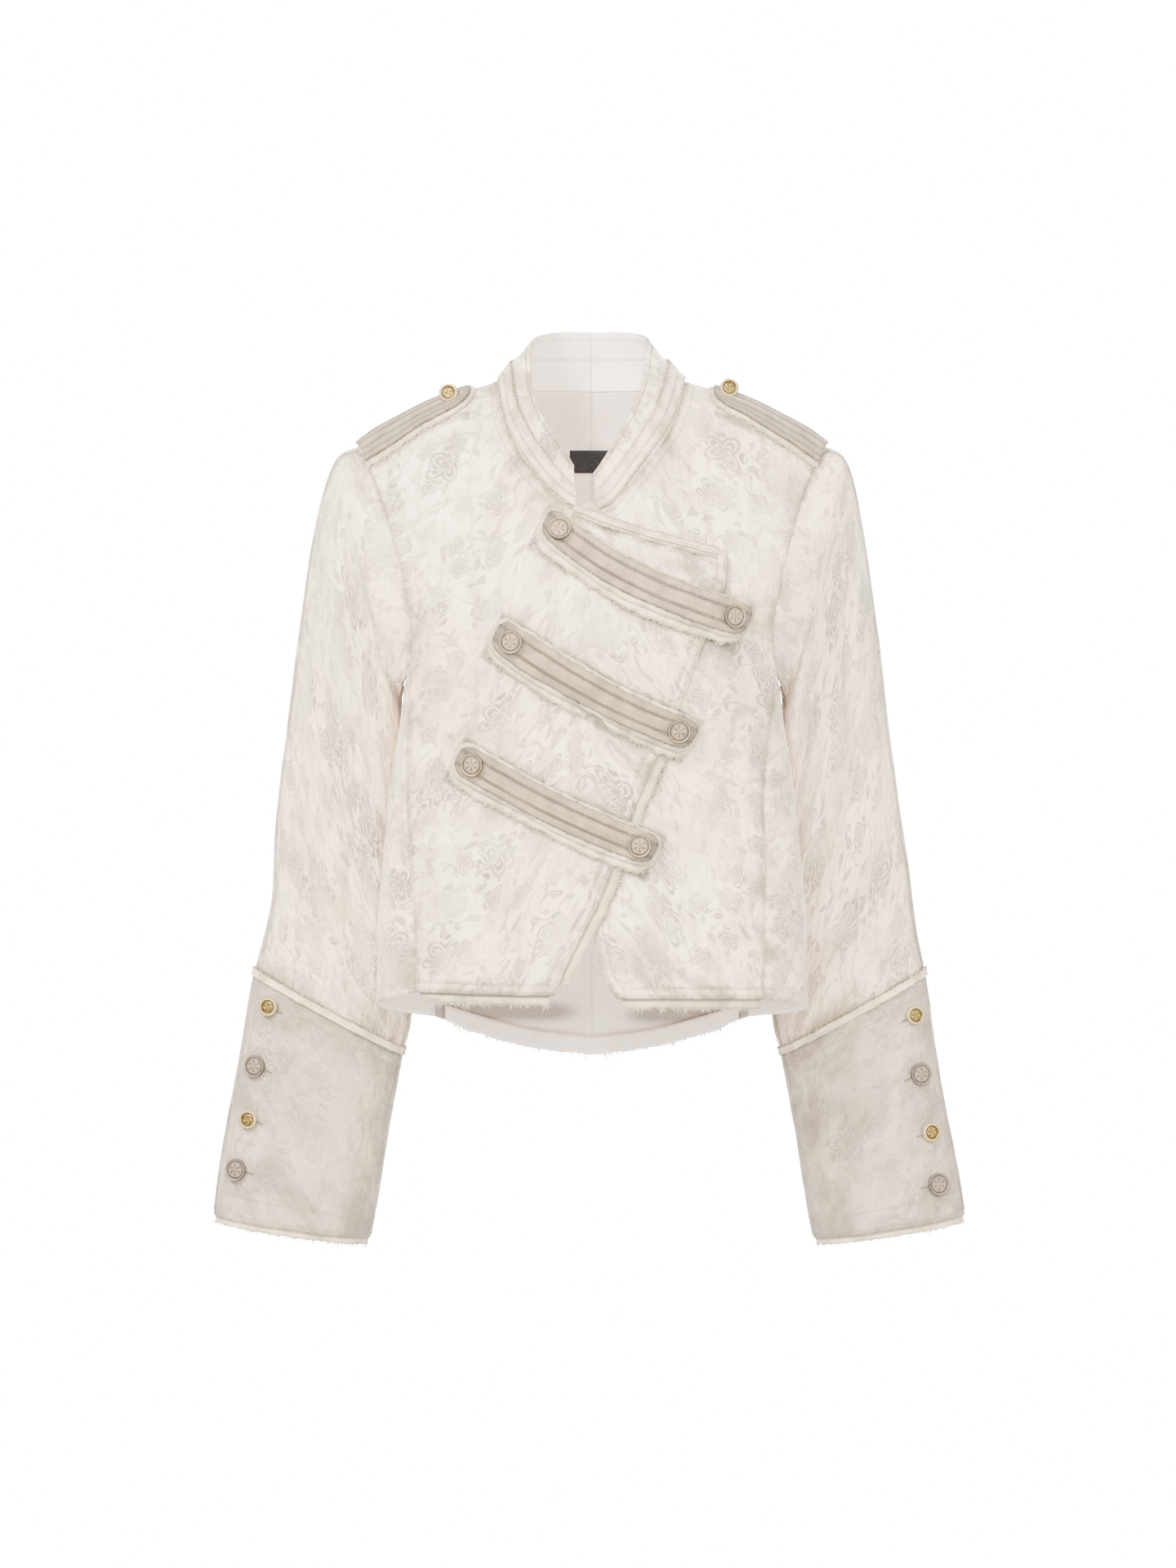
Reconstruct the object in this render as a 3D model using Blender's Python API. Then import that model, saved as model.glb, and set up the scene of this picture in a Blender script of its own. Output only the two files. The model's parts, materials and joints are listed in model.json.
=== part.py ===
# Cropped jacquard jacket with diagonal braided straps, worn shape with no wearer.
# Metres, +Z up, the front faces -Y, +X is the wearer's left. The origin is the middle of the neck base.
import math

import bpy
import numpy as np
from mathutils import Vector
from mathutils.geometry import delaunay_2d_cdt

MM = 0.001

# Cloth sizes
CLOTH = 2.0 * MM
PLY = 1.2 * MM
BRAID = 1.8 * MM
LAID = 0.8 * MM
TUCKED = 1.1 * MM
SEAM = 0.15 * MM
CELL = 21 * MM
BACK_CELL = 23 * MM

# Body form
FRONT_POWER = 2.4
BACK_POWER = 2.1
SHOULDER_POWER = 1.6
SHOULDER_DROP = 0.100
SHOULDER_ARC = 0.090

BODY = dict(
    columns=("height", "half_width", "side_y", "front_y", "back_y"),
    rows=(
        (0.080, 0.225, 0.000, -0.060, 0.060),
        (0.000, 0.225, 0.000, -0.068, 0.076),
        (-0.050, 0.224, 0.000, -0.080, 0.090),
        (-0.100, 0.215, -0.006, -0.096, 0.100),
        (-0.150, 0.200, -0.014, -0.112, 0.104),
        (-0.200, 0.174, -0.021, -0.120, 0.102),
        (-0.225, 0.162, -0.024, -0.120, 0.100),
        (-0.247, 0.1550, -0.025, -0.118, 0.097),
        (-0.275, 0.1575, -0.026, -0.114, 0.092),
        (-0.337, 0.1655, -0.027, -0.108, 0.084),
        (-0.382, 0.1700, -0.027, -0.106, 0.083),
        (-0.430, 0.1750, -0.027, -0.108, 0.088),
        (-0.500, 0.1775, -0.027, -0.114, 0.096),
        (-0.570, 0.1780, -0.027, -0.118, 0.102),
    ),
)
RIDGE = dict(
    columns=("out", "height"),
    rows=(
        (0.000, 0.075),
        (0.040, 0.044),
        (0.077, 0.008),
        (0.106, -0.001),
        (0.142, -0.016),
        (0.179, -0.036),
        (0.1955, -0.0475),
        (0.240, -0.078),
    ),
)
BUST_OUT, BUST_HEIGHT, BUST_RISE, BUST_SPREAD = 0.078, -0.205, 0.007, 0.050

# Armhole seen from the front and the back: how far out its seam lies at each height
ARM_TOP, ARM_BOTTOM, ARM_STEPS = -0.0475, -0.247, 24
ARM_FRONT_NOTCH, ARM_BACK_NOTCH = 10, 15
ARMHOLE = dict(
    columns=("height", "front", "back"),
    rows=(
        (-0.0475, 0.1955, 0.1955),
        (-0.062, 0.1860, 0.1900),
        (-0.088, 0.1740, 0.1820),
        (-0.113, 0.1660, 0.1755),
        (-0.150, 0.1560, 0.1675),
        (-0.176, 0.1505, 0.1620),
        (-0.200, 0.1470, 0.1575),
        (-0.222, 0.1475, 0.1545),
        (-0.240, 0.1520, 0.1545),
        (-0.247, 0.1550, 0.1550),
    ),
)
PRINCESS = dict(
    columns=("height", "right", "left", "back"),
    rows=(
        (-0.205, 0.1475, 0.1475, 0.1565),
        (-0.230, 0.1480, 0.1485, 0.1530),
        (-0.260, 0.1490, 0.1470, 0.1460),
        (-0.300, 0.1505, 0.1415, 0.1380),
        (-0.337, 0.1505, 0.1385, 0.1330),
        (-0.376, 0.1475, 0.1395, 0.1310),
        (-0.420, 0.1450, 0.1400, 0.1310),
        (-0.500, 0.1420, 0.1390, 0.1330),
        (-0.570, 0.1400, 0.1380, 0.1340),
    ),
)
HEM = dict(
    columns=("out", "right", "left", "back"),
    rows=(
        (0.000, -0.4970, -0.4990, -0.5550),
        (0.055, -0.4965, -0.4990, -0.5475),
        (0.090, -0.4960, -0.4995, -0.5380),
        (0.135, -0.4950, -0.5005, -0.5220),
        (0.160, -0.4950, -0.5015, -0.5090),
        (0.1775, -0.4965, -0.5020, -0.5000),
    ),
)
# Neck seam on each front, from the shoulder to the middle, and its back
NECK = dict(
    columns=("out", "right", "left", "back"),
    rows=(
        (0.000, -0.1100, -0.1100, 0.0060),
        (0.016, -0.1060, -0.1030, 0.0060),
        (0.030, -0.0960, -0.0850, 0.0055),
        (0.049, -0.0740, -0.0590, 0.0050),
        (0.064, -0.0475, -0.0360, 0.0050),
        (0.072, -0.0245, -0.0140, 0.0060),
        (0.077, 0.0080, 0.0080, 0.0080),
    ),
)
NECK_SHOULDER, NECK_FRONT_STEPS, NECK_BACK_STEPS = 0.077, 11, 5
NECK_START = dict(right=0.012, left=0.005)
# Edge of the overlapping front from the neck along the tab, down to the hem
RIGHT_EDGE = dict(
    columns=("x", "height"),
    rows=(
        (-0.012, -0.1050),
        (0.013, -0.1150),
        (0.044, -0.1250),
        (0.072, -0.1325),
        (0.101, -0.1395),
        (0.107, -0.1425),
        (0.108, -0.1500),
        (0.105, -0.1700),
        (0.098, -0.1900),
        (0.088, -0.2130),
        (0.080, -0.2350),
        (0.071, -0.2600),
        (0.054, -0.2990),
        (0.036, -0.3400),
        (0.018, -0.3900),
        (0.002, -0.4300),
        (-0.012, -0.4560),
        (-0.021, -0.4740),
        (-0.030, -0.4960),
    ),
)
LEFT_EDGE = dict(
    columns=("x", "height"),
    rows=(
        (0.005, -0.1080),
        (-0.002, -0.1500),
        (-0.004, -0.2500),
        (-0.004, -0.3500),
        (-0.003, -0.4200),
        (0.001, -0.4470),
        (0.006, -0.4710),
        (0.012, -0.4870),
        (0.020, -0.4985),
    ),
)
# The overlapping front stands off the under front between these lines
OVERLAP_LIFT = 5.0 * MM
OVERLAP_FADE_FROM, OVERLAP_FADE_TO = -0.095, -0.035
UNDER_PLY_SHOWS, UNDER_PLY_HELD = 9 * MM, 10 * MM
UNDER_PLY_FROM, UNDER_PLY_TO = -0.285, -0.488

# Sleeve sections: outer and inner points seen from the front, half depth and how far back
SLEEVE = dict(
    columns=("outer_right", "outer_left", "outer_z", "inner", "inner_z", "depth", "back"),
    rows=(
        (0.2095, 0.2080, -0.0545, 0.1630, -0.2620, 0.0670, 0.000),
        (0.2200, 0.2170, -0.0740, 0.1650, -0.2820, 0.0640, 0.005),
        (0.2300, 0.2250, -0.1090, 0.1655, -0.3080, 0.0595, 0.014),
        (0.2380, 0.2320, -0.1500, 0.1650, -0.3380, 0.0560, 0.025),
        (0.2460, 0.2400, -0.2000, 0.1645, -0.3720, 0.0530, 0.035),
        (0.2530, 0.2460, -0.2490, 0.1630, -0.4050, 0.0505, 0.043),
        (0.2590, 0.2520, -0.2950, 0.1600, -0.4350, 0.0475, 0.050),
        (0.2650, 0.2590, -0.3400, 0.1565, -0.4620, 0.0445, 0.056),
        (0.2685, 0.2660, -0.3850, 0.1530, -0.4880, 0.0415, 0.060),
        (0.2710, 0.2710, -0.4230, 0.1510, -0.5120, 0.0390, 0.062),
        (0.2770, 0.2750, -0.4530, 0.1530, -0.5320, 0.0375, 0.062),
        (0.28445, 0.28095, -0.4816, 0.1584, -0.5496, 0.0380, 0.060),
    ),
)
SLEEVE_POWER, CUFF_POWER = 2.0, 2.2
SLEEVE_FRONT_SEAM, SLEEVE_BACK_SEAM = 11, 1
CUFF = dict(
    columns=("outer_right", "outer_left", "outer_z", "inner", "inner_z", "depth", "back"),
    rows=(
        (0.2845, 0.2810, -0.4820, 0.1585, -0.5500, 0.0380, 0.060),
        (0.2905, 0.2855, -0.5120, 0.1630, -0.5750, 0.0390, 0.060),
        (0.2980, 0.2915, -0.5560, 0.1690, -0.6080, 0.0400, 0.059),
        (0.3060, 0.2990, -0.6010, 0.1745, -0.6420, 0.0410, 0.058),
        (0.3140, 0.3080, -0.6450, 0.1800, -0.6760, 0.0420, 0.057),
        (0.3195, 0.3150, -0.6890, 0.1860, -0.7090, 0.0430, 0.056),
    ),
)
CUFF_PLY_DROP, CUFF_PLY_HELD = 6 * MM, 8 * MM
CUFF_BAND_WIDTH = 6 * MM
HEM_PLY_DROP, HEM_PLY_HELD = 7 * MM, 8 * MM
FACING_WIDTH = 13 * MM

# Collar top edge, from the right front end round the back to the left front end
COLLAR = dict(
    columns=("turn", "x", "y", "z"),
    rows=(
        (0.00, -0.0145, -0.0700, -0.0680),
        (0.10, -0.0290, -0.0640, -0.0440),
        (0.20, -0.0440, -0.0480, -0.0170),
        (0.30, -0.0510, -0.0220, 0.0170),
        (0.38, -0.0490, 0.0120, 0.0440),
        (0.44, -0.0300, 0.0440, 0.0530),
        (0.50, 0.0000, 0.0560, 0.0545),
        (0.56, 0.0290, 0.0440, 0.0530),
        (0.62, 0.0460, 0.0120, 0.0440),
        (0.70, 0.0430, -0.0220, 0.0140),
        (0.80, 0.0340, -0.0480, -0.0160),
        (0.90, 0.0190, -0.0650, -0.0460),
        (1.00, 0.0000, -0.0730, -0.0760),
    ),
)
COLLAR_STEPS, COLLAR_ROWS = 32, 4
BINDING_FROM, BINDING_OUT = 0.08, 1.0 * MM

# Straps: both button centres, the sag between them and the size of each layer
STRAPS = dict(
    columns=("name", "x0", "z0", "x1", "z1", "sag"),
    rows=(
        ("upper", -0.026, -0.127, 0.108, -0.193, 0.008),
        ("middle", -0.064, -0.213, 0.067, -0.283, 0.004),
        ("lower", -0.094, -0.311, 0.037, -0.376, 0.003),
    ),
)
STRAP_LAYERS = dict(
    columns=("name", "above", "below", "past", "lift", "thick"),
    rows=(
        ("base", 14.5 * MM, 22.0 * MM, 18.0 * MM, 1.2 * MM, 1.0 * MM),
        ("ply", 14.5 * MM, 16.5 * MM, 16.5 * MM, 2.6 * MM, 1.0 * MM),
        ("braid", 12.5 * MM, 12.5 * MM, 14.0 * MM, 4.2 * MM, 1.8 * MM),
    ),
)
STRAP_STEPS = 15
# Epaulettes along the shoulder, from the sleeve seam to the neck end
EPAULETTE_OUT, EPAULETTE_IN = 0.1935, 0.097
EPAULETTE_LAYERS = dict(
    columns=("name", "front", "rear", "lift", "thick", "inset"),
    rows=(
        ("base", 46 * MM, 12 * MM, 1.1 * MM, 1.0 * MM, 0.0 * MM),
        ("braid", 38 * MM, 8 * MM, 2.8 * MM, 1.8 * MM, 3.0 * MM),
    ),
)
EPAULETTE_TAPER, EPAULETTE_SLANT = 0.80, 2.6 * MM
LABEL = dict(x0=-0.019, x1=0.014, z0=-0.042, z1=-0.061, thick=0.8 * MM)

# Buttons: size and the centres on each cuff, seen from the front
LARGE_BUTTON, SMALL_BUTTON = 19.0 * MM, 14.6 * MM
SHANK, SHANK_RADIUS = 1.4 * MM, 2.6 * MM
CUFF_BUTTONS = dict(
    columns=("name", "size", "right_x", "right_z", "left_x", "left_z"),
    rows=(
        ("1_small", SMALL_BUTTON, 0.2690, -0.5130, 0.2690, -0.5220),
        ("2_large", LARGE_BUTTON, 0.2790, -0.5620, 0.2740, -0.5690),
        ("3_small", SMALL_BUTTON, 0.2870, -0.6070, 0.2815, -0.6160),
        ("4_large", LARGE_BUTTON, 0.2960, -0.6510, 0.2890, -0.6610),
    ),
)

COLOURS = dict(
    cloth=((0.83, 0.79, 0.73), 0.60, 0.0),
    lining=((0.90, 0.84, 0.78), 0.50, 0.0),
    ply=((0.80, 0.76, 0.69), 0.80, 0.0),
    braid=((0.60, 0.51, 0.37), 0.70, 0.0),
    large_button=((0.62, 0.55, 0.45), 0.42, 1.0),
    small_button=((0.66, 0.50, 0.24), 0.35, 1.0),
    label=((0.03, 0.03, 0.03), 0.70, 0.0),
)


def column(table, name):
    place = table["columns"].index(name)
    return np.array([row[place] for row in table["rows"]], float)


def rows(table):
    return [dict(zip(table["columns"], row)) for row in table["rows"]]


def smooth(table, key, name, at):
    """The named column at a value of the key column, through the rows by a smooth curve."""
    keys, values = column(table, key), column(table, name)
    if keys[0] > keys[-1]:
        keys, values = keys[::-1], values[::-1]
    at = np.clip(at, keys[0], keys[-1])
    slopes = np.diff(values) / np.diff(keys)
    tangents = np.concatenate([[slopes[0]], (slopes[:-1] + slopes[1:]) / 2, [slopes[-1]]])
    flat = slopes[:-1] * slopes[1:] <= 0
    tangents[1:-1][flat] = 0
    i = np.clip(np.searchsorted(keys, at, side="right") - 1, 0, len(keys) - 2)
    wide = keys[i + 1] - keys[i]
    t = (at - keys[i]) / wide
    a = (2 * t**3 - 3 * t**2 + 1) * values[i] + (t**3 - 2 * t**2 + t) * wide * tangents[i]
    b = (3 * t**2 - 2 * t**3) * values[i + 1] + (t**3 - t**2) * wide * tangents[i + 1]
    return a + b


def ease(low, high, at):
    t = np.clip((at - low) / (high - low), 0, 1)
    return t * t * (3 - 2 * t)


def unit(vector):
    return vector / max(np.linalg.norm(vector), 1e-12)


# Torso form: front and back in (x, height below the shoulder line), the sides in (turn, height)
def ridge(x):
    return float(smooth(RIDGE, "out", "height", abs(x)))


def body(name, z):
    return float(smooth(BODY, "height", name, z))


def to_flat(x, z):
    """Distance below the shoulder line, measured along the cloth."""
    t = (ridge(x) - z) / SHOULDER_DROP
    if t >= 1:
        return SHOULDER_ARC * math.pi / 2 + (t - 1) * SHOULDER_DROP
    return SHOULDER_ARC * math.acos(max(1 - max(t, 0), 0) ** (SHOULDER_POWER / 2))


def from_flat(x, q):
    angle = q / SHOULDER_ARC
    if angle >= math.pi / 2:
        return ridge(x) - SHOULDER_DROP - (q - SHOULDER_ARC * math.pi / 2)
    return ridge(x) - SHOULDER_DROP * (1 - math.cos(angle) ** (2 / SHOULDER_POWER))


def torso(x, q, back):
    """A point on the outside of the front or the back."""
    z = from_flat(x, q)
    turn = min(q / SHOULDER_ARC, math.pi / 2)
    round_off = math.copysign(abs(math.sin(turn)) ** (2 / SHOULDER_POWER), turn)
    wide = body("half_width", z)
    power = BACK_POWER if back else FRONT_POWER
    share = max(1 - min(abs(x) / wide, 1) ** power, 0) ** (1 / power)
    side, far = body("side_y", z), body("back_y" if back else "front_y", z)
    y = (side + (far - side) * share) * round_off
    if not back:
        near = ((abs(x) - BUST_OUT) ** 2 + (z - BUST_HEIGHT) ** 2) / BUST_SPREAD**2
        y -= BUST_RISE * math.exp(-near)
    return np.array((x, y, z))


def torso_normal(x, q, back):
    step = 2e-4
    q = max(q, step)
    along = torso(x + step, q, back) - torso(x - step, q, back)
    down = torso(x, q + step, back) - torso(x, q - step * 0.9, back)
    normal = unit(np.cross(down, along))
    return -normal if back else normal


def side_point(turn, z, hand):
    """turn -1 is the middle of the front, 0 the side and 1 the middle of the back."""
    back = turn > 0
    power = BACK_POWER if back else FRONT_POWER
    angle = turn * math.pi / 2
    x = body("half_width", z) * math.cos(angle) ** (2 / power)
    side, far = body("side_y", z), body("back_y" if back else "front_y", z)
    y = side + (far - side) * abs(math.sin(angle)) ** (2 / power)
    if not back:
        near = ((x - BUST_OUT) ** 2 + (z - BUST_HEIGHT) ** 2) / BUST_SPREAD**2
        y -= BUST_RISE * math.exp(-near) * ease(0, 0.3, abs(turn))
    return np.array((hand * x, y, z))


def side_turn(x, z, back):
    power = BACK_POWER if back else FRONT_POWER
    share = min(abs(x) / body("half_width", z), 1)
    angle = math.acos(share ** (power / 2))
    return (angle if back else -angle) * 2 / math.pi


def side_normal(turn, z, hand):
    step = 1e-3
    around = side_point(turn + step, z, hand) - side_point(turn - step, z, hand)
    down = side_point(turn, z - step, hand) - side_point(turn, z + step, hand)
    return unit(np.cross(down, around)) * hand


# Armhole seam as (x out, z), by steps from the shoulder forwards, under the arm and up the back
def armhole(step):
    angle = 2 * math.pi * step / ARM_STEPS
    middle, half = (ARM_TOP + ARM_BOTTOM) / 2, (ARM_TOP - ARM_BOTTOM) / 2
    z = middle + half * math.cos(angle)
    face = "front" if angle <= math.pi else "back"
    return float(smooth(ARMHOLE, "height", face, z)), z


def armhole_point(step, hand):
    x, z = armhole(step)
    step %= ARM_STEPS
    back = step > ARM_STEPS / 2
    if step == ARM_STEPS / 2:
        return side_point(0.0, z, hand)
    point = torso(hand * x, to_flat(x, z), back)
    if step == 0:
        point[1] = 0.0
    return point


# Mesh making
MATERIALS = {}


def material(kind):
    if kind not in MATERIALS:
        colour, rough, metal = COLOURS[kind]
        made = bpy.data.materials.new(kind)
        made.use_nodes = True
        made.diffuse_color = (*colour, 1)
        shader = made.node_tree.nodes["Principled BSDF"]
        shader.inputs["Base Color"].default_value = (*colour, 1)
        shader.inputs["Roughness"].default_value = rough
        shader.inputs["Metallic"].default_value = metal
        MATERIALS[kind] = made
    return MATERIALS[kind]


def add(name, points, faces, kind, flat=False):
    mesh = bpy.data.meshes.new(name)
    mesh.from_pydata([tuple(map(float, p)) for p in points], [], [tuple(map(int, f)) for f in faces])
    mesh.validate()
    mesh.update()
    obj = bpy.data.objects.new(name, mesh)
    bpy.context.collection.objects.link(obj)
    own = material(kind).copy()
    own.name = name
    mesh.materials.append(own)
    mesh.shade_smooth()
    volume = 0.0
    for face in mesh.polygons:
        corners = [mesh.vertices[i].co for i in face.vertices]
        for k in range(1, len(corners) - 1):
            volume += corners[0].dot(corners[k].cross(corners[k + 1]))
    if volume < 0:
        mesh.flip_normals()
    if flat:
        mesh.shade_flat()
    return obj


def wall(name, outer, normals, faces, thick, kind):
    """Closes a sheet of points into a wall: outer side, inner side and the strip round every edge."""
    outer = np.array(outer)
    inner = outer - np.array(normals) * thick
    count = len(outer)
    sides = {}
    for face in faces:
        for a, b in zip(face, face[1:] + face[:1]):
            sides[(a, b)] = True
    rim = [(a, b) for a, b in sides if (b, a) not in sides]
    corners = []
    for face in faces:
        corners += [face] if len(face) == 3 else [face[:3], [face[0], face[2], face[3]]]
    solid = [list(face) for face in corners]
    solid += [[i + count for i in reversed(face)] for face in corners]
    for a, b in rim:
        if outer[a][2] > outer[b][2]:
            solid += [[b, a, b + count], [a, a + count, b + count]]
        else:
            solid += [[b, a, a + count], [b, a + count, b + count]]
    return add(name, np.concatenate([outer, inner]), solid, kind)


def pull_in(points, normals, faces, by):
    """Moves the sheet's edge points inwards along the cloth, to leave the gap of a seam."""
    sides = {}
    for face in faces:
        for a, b in zip(face, face[1:] + face[:1]):
            sides[(a, b)] = True
    moves = {}
    for a, b in sides:
        if (b, a) in sides:
            continue
        along = unit(points[b] - points[a])
        for i in (a, b):
            inwards = unit(np.cross(normals[i], along))
            moves.setdefault(i, []).append(inwards)
    result = [np.array(p) for p in points]
    for i, ways in moves.items():
        way = unit(sum(ways))
        reach = by / max(abs(float(np.dot(way, ways[0]))), 0.5)
        result[i] = result[i] + way * reach
    return result


def facing_out(points, normals, faces):
    """Turns the faces so that they go round their normals."""
    total = 0.0
    for face in faces:
        a, b, c = (points[i] for i in face[:3])
        total += float(np.dot(np.cross(b - a, c - a), normals[face[0]]))
    return faces if total > 0 else [list(reversed(face)) for face in faces]


def grid_faces(down, across):
    return [
        [i * across + j, i * across + j + 1, (i + 1) * across + j + 1, (i + 1) * across + j]
        for i in range(down - 1)
        for j in range(across - 1)
    ]


def sheet_grid(name, point, normal, down, across, thick, kind, gap=SEAM):
    """A wall on a grid: point(i, j) and normal(i, j) give its outer side."""
    points = [point(i, j) for i in range(down) for j in range(across)]
    normals = [normal(i, j) for i in range(down) for j in range(across)]
    faces = facing_out(points, normals, grid_faces(down, across))
    return wall(name, pull_in(points, normals, faces, gap), normals, faces, thick, kind)


def fill(outline, cell):
    """Triangles over a flat outline, with evenly spread points inside."""
    outline = [Vector(p) for p in outline]
    low = [min(p[k] for p in outline) for k in (0, 1)]
    high = [max(p[k] for p in outline) for k in (0, 1)]
    inside = []
    row = 0
    v = low[1] + cell / 2
    while v < high[1]:
        u = low[0] + cell * (0.5 if row % 2 else 1.0)
        while u < high[0]:
            if within(outline, u, v, cell * 0.55):
                inside.append(Vector((u, v)))
            u += cell
        v += cell * 0.87
        row += 1
    made = delaunay_2d_cdt(outline + inside, [], [list(range(len(outline)))], 1, 1e-7)
    return [tuple(p) for p in made[0]], [list(f) for f in made[2]]


def within(outline, u, v, margin):
    crossings = False
    for a, b in zip(outline, outline[1:] + outline[:1]):
        if (a[1] > v) != (b[1] > v) and u < a[0] + (v - a[1]) * (b[0] - a[0]) / (b[1] - a[1]):
            crossings = not crossings
        span = b - a
        t = max(0.0, min(1.0, ((u - a[0]) * span[0] + (v - a[1]) * span[1]) / max(span.length_squared, 1e-12)))
        if math.hypot(u - a[0] - span[0] * t, v - a[1] - span[1] * t) < margin:
            return False
    return crossings


def spread(a, b, cell):
    """Even points from a to b in the flat outline, without b."""
    steps = max(1, round(math.dist(a, b) / cell))
    return [(a[0] + (b[0] - a[0]) * k / steps, a[1] + (b[1] - a[1]) * k / steps) for k in range(steps)]


# Seam lines as lists of (x, z), shared by the pieces on both sides
def princess_line(hand, back):
    name = "back" if back else ("left" if hand > 0 else "right")
    start = armhole(ARM_BACK_NOTCH if back else ARM_FRONT_NOTCH)
    bottom = float(column(PRINCESS, name)[-2])
    hem = "back" if back else ("left" if hand > 0 else "right")
    end = (bottom, float(smooth(HEM, "out", hem, bottom)))
    steps = 14
    line = [(hand * start[0], start[1])]
    for k in range(1, steps + 1):
        z = start[1] + (end[1] - start[1]) * k / steps
        x = float(smooth(PRINCESS, "height", name, z))
        x += (start[0] - float(smooth(PRINCESS, "height", name, start[1]))) * (1 - k / steps)
        line.append((hand * x, z))
    return line


def neck_line(hand, back):
    """From the shoulder to the middle."""
    name = "back" if back else ("left" if hand > 0 else "right")
    start = 0.0 if back else NECK_START[name]
    steps = NECK_BACK_STEPS if back else NECK_FRONT_STEPS
    line = []
    for k in range(steps + 1):
        out = start + (NECK_SHOULDER - start) * math.cos(math.pi / 2 * k / steps)
        line.append((hand * out, float(smooth(NECK, "out", name, out))))
    return line


def shoulder_line(hand):
    """From the armhole to the neck."""
    steps = 5
    out, into = armhole(0)[0], NECK_SHOULDER
    return [(hand * (out + (into - out) * k / steps), None) for k in range(steps + 1)]


def hem_line(hand, name, out, into, steps):
    line = []
    for k in range(steps + 1):
        x = out + (into - out) * k / steps
        line.append((hand * x, float(smooth(HEM, "out", name, abs(x)))))
    return line


def flat_line(line):
    return [(x, 0.0 if z is None else to_flat(x, z)) for x, z in line]


def overlap_lift(x):
    """How far the overlapping front stands off the body form."""
    return OVERLAP_LIFT * ease(OVERLAP_FADE_FROM, OVERLAP_FADE_TO, x)


def panel(name, outline, back, lift, kind="cloth"):
    flat = flat_line(outline)
    kept = [p for p, before in zip(flat, flat[-1:] + flat[:-1]) if math.dist(p, before) > 1e-4]
    places, faces = fill(kept, BACK_CELL if back else CELL)
    normals = [torso_normal(x, q, back) for x, q in places]
    points = [torso(x, q, back) + n * lift(x) for (x, q), n in zip(places, normals)]
    faces = facing_out(points, normals, faces)
    return wall(name, pull_in(points, normals, faces, SEAM), normals, faces, CLOTH, kind)


def armhole_line(hand, first, last):
    line = []
    step = 1 if last > first else -1
    for k in range(first, last + step, step):
        x, z = armhole(k)
        line.append((hand * x, None if k % ARM_STEPS == 0 else z))
    return line


def edge_line(table, hem):
    line = [(row["x"], row["height"]) for row in rows(table)]
    line[-1] = (line[-1][0], float(smooth(HEM, "out", hem, abs(line[-1][0]))))
    return line


# Fronts and backs
def make_fronts():
    for hand, name, table in ((-1, "right", RIGHT_EDGE), (1, "left", LEFT_EDGE)):
        seam = princess_line(hand, False)
        edge = edge_line(table, name)
        hem = hem_line(hand, name, abs(seam[-1][0]), edge[-1][0] * hand, 6)
        outline = shoulder_line(hand)
        outline += neck_line(hand, False)[1:-1]
        outline += edge
        outline += hem[::-1][1:]
        outline += seam[::-1][1:]
        outline += armhole_line(hand, ARM_FRONT_NOTCH, 0)[1:-1]
        lift = overlap_lift if hand < 0 else (lambda x: 0.0)
        panel("front_" + name, outline, False, lift)


def make_backs():
    for hand, name in ((-1, "right"), (1, "left")):
        seam = princess_line(hand, True)
        neck = neck_line(hand, True)
        hem = hem_line(hand, "back", abs(seam[-1][0]), 0.0, 7)
        top, bottom = neck[-1][1], hem[-1][1]
        middle = [(0.0, top + (bottom - top) * k / 22) for k in range(23)]
        outline = shoulder_line(hand)
        outline += neck[1:]
        outline += middle[1:]
        outline += hem[::-1][1:]
        outline += seam[::-1][1:]
        outline += armhole_line(hand, ARM_BACK_NOTCH, ARM_STEPS)[1:-1]
        panel("back_" + name, outline, True, lambda x: 0.0)


def side_grid(hand):
    """Places (turn, z) of the side panel, between both seams, the armhole and the hem."""
    name = "left" if hand > 0 else "right"
    front, rear = princess_line(hand, False), princess_line(hand, True)
    top = armhole_line(hand, ARM_FRONT_NOTCH, ARM_BACK_NOTCH)
    half = ARM_STEPS // 2 - ARM_FRONT_NOTCH

    def turned(line, back):
        return [np.array((side_turn(x, z, back), z)) for x, z in line]

    left, right = turned(front, False), turned(rear, True)
    upper = [np.array((side_turn(x, z, k > half), z)) for k, (x, z) in enumerate(top)]
    upper[half][0] = 0.0
    across, down = len(upper), len(left)
    lower = []
    for j in range(across):
        turn = left[-1][0] + (right[-1][0] - left[-1][0]) * j / (across - 1)
        share = j / (across - 1)
        lower.append(np.array((turn, left[-1][1] + (right[-1][1] - left[-1][1]) * share)))
    places = []
    for i in range(down):
        v = i / (down - 1)
        for j in range(across):
            u = j / (across - 1)
            inside = (1 - u) * left[i] + u * right[i] + (1 - v) * upper[j] + v * lower[j]
            corners = (1 - u) * (1 - v) * left[0] + u * (1 - v) * right[0]
            corners = corners + (1 - u) * v * left[-1] + u * v * right[-1]
            places.append(inside - corners)
    return name, places, down, across


def make_sides():
    for hand in (-1, 1):
        name, places, down, across = side_grid(hand)

        def point(i, j):
            turn, z = places[i * across + j]
            return side_point(turn, z, hand)

        def normal(i, j):
            turn, z = places[i * across + j]
            return side_normal(turn, z, hand)

        sheet_grid("side_" + name, point, normal, down, across, CLOTH, "cloth")


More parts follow.
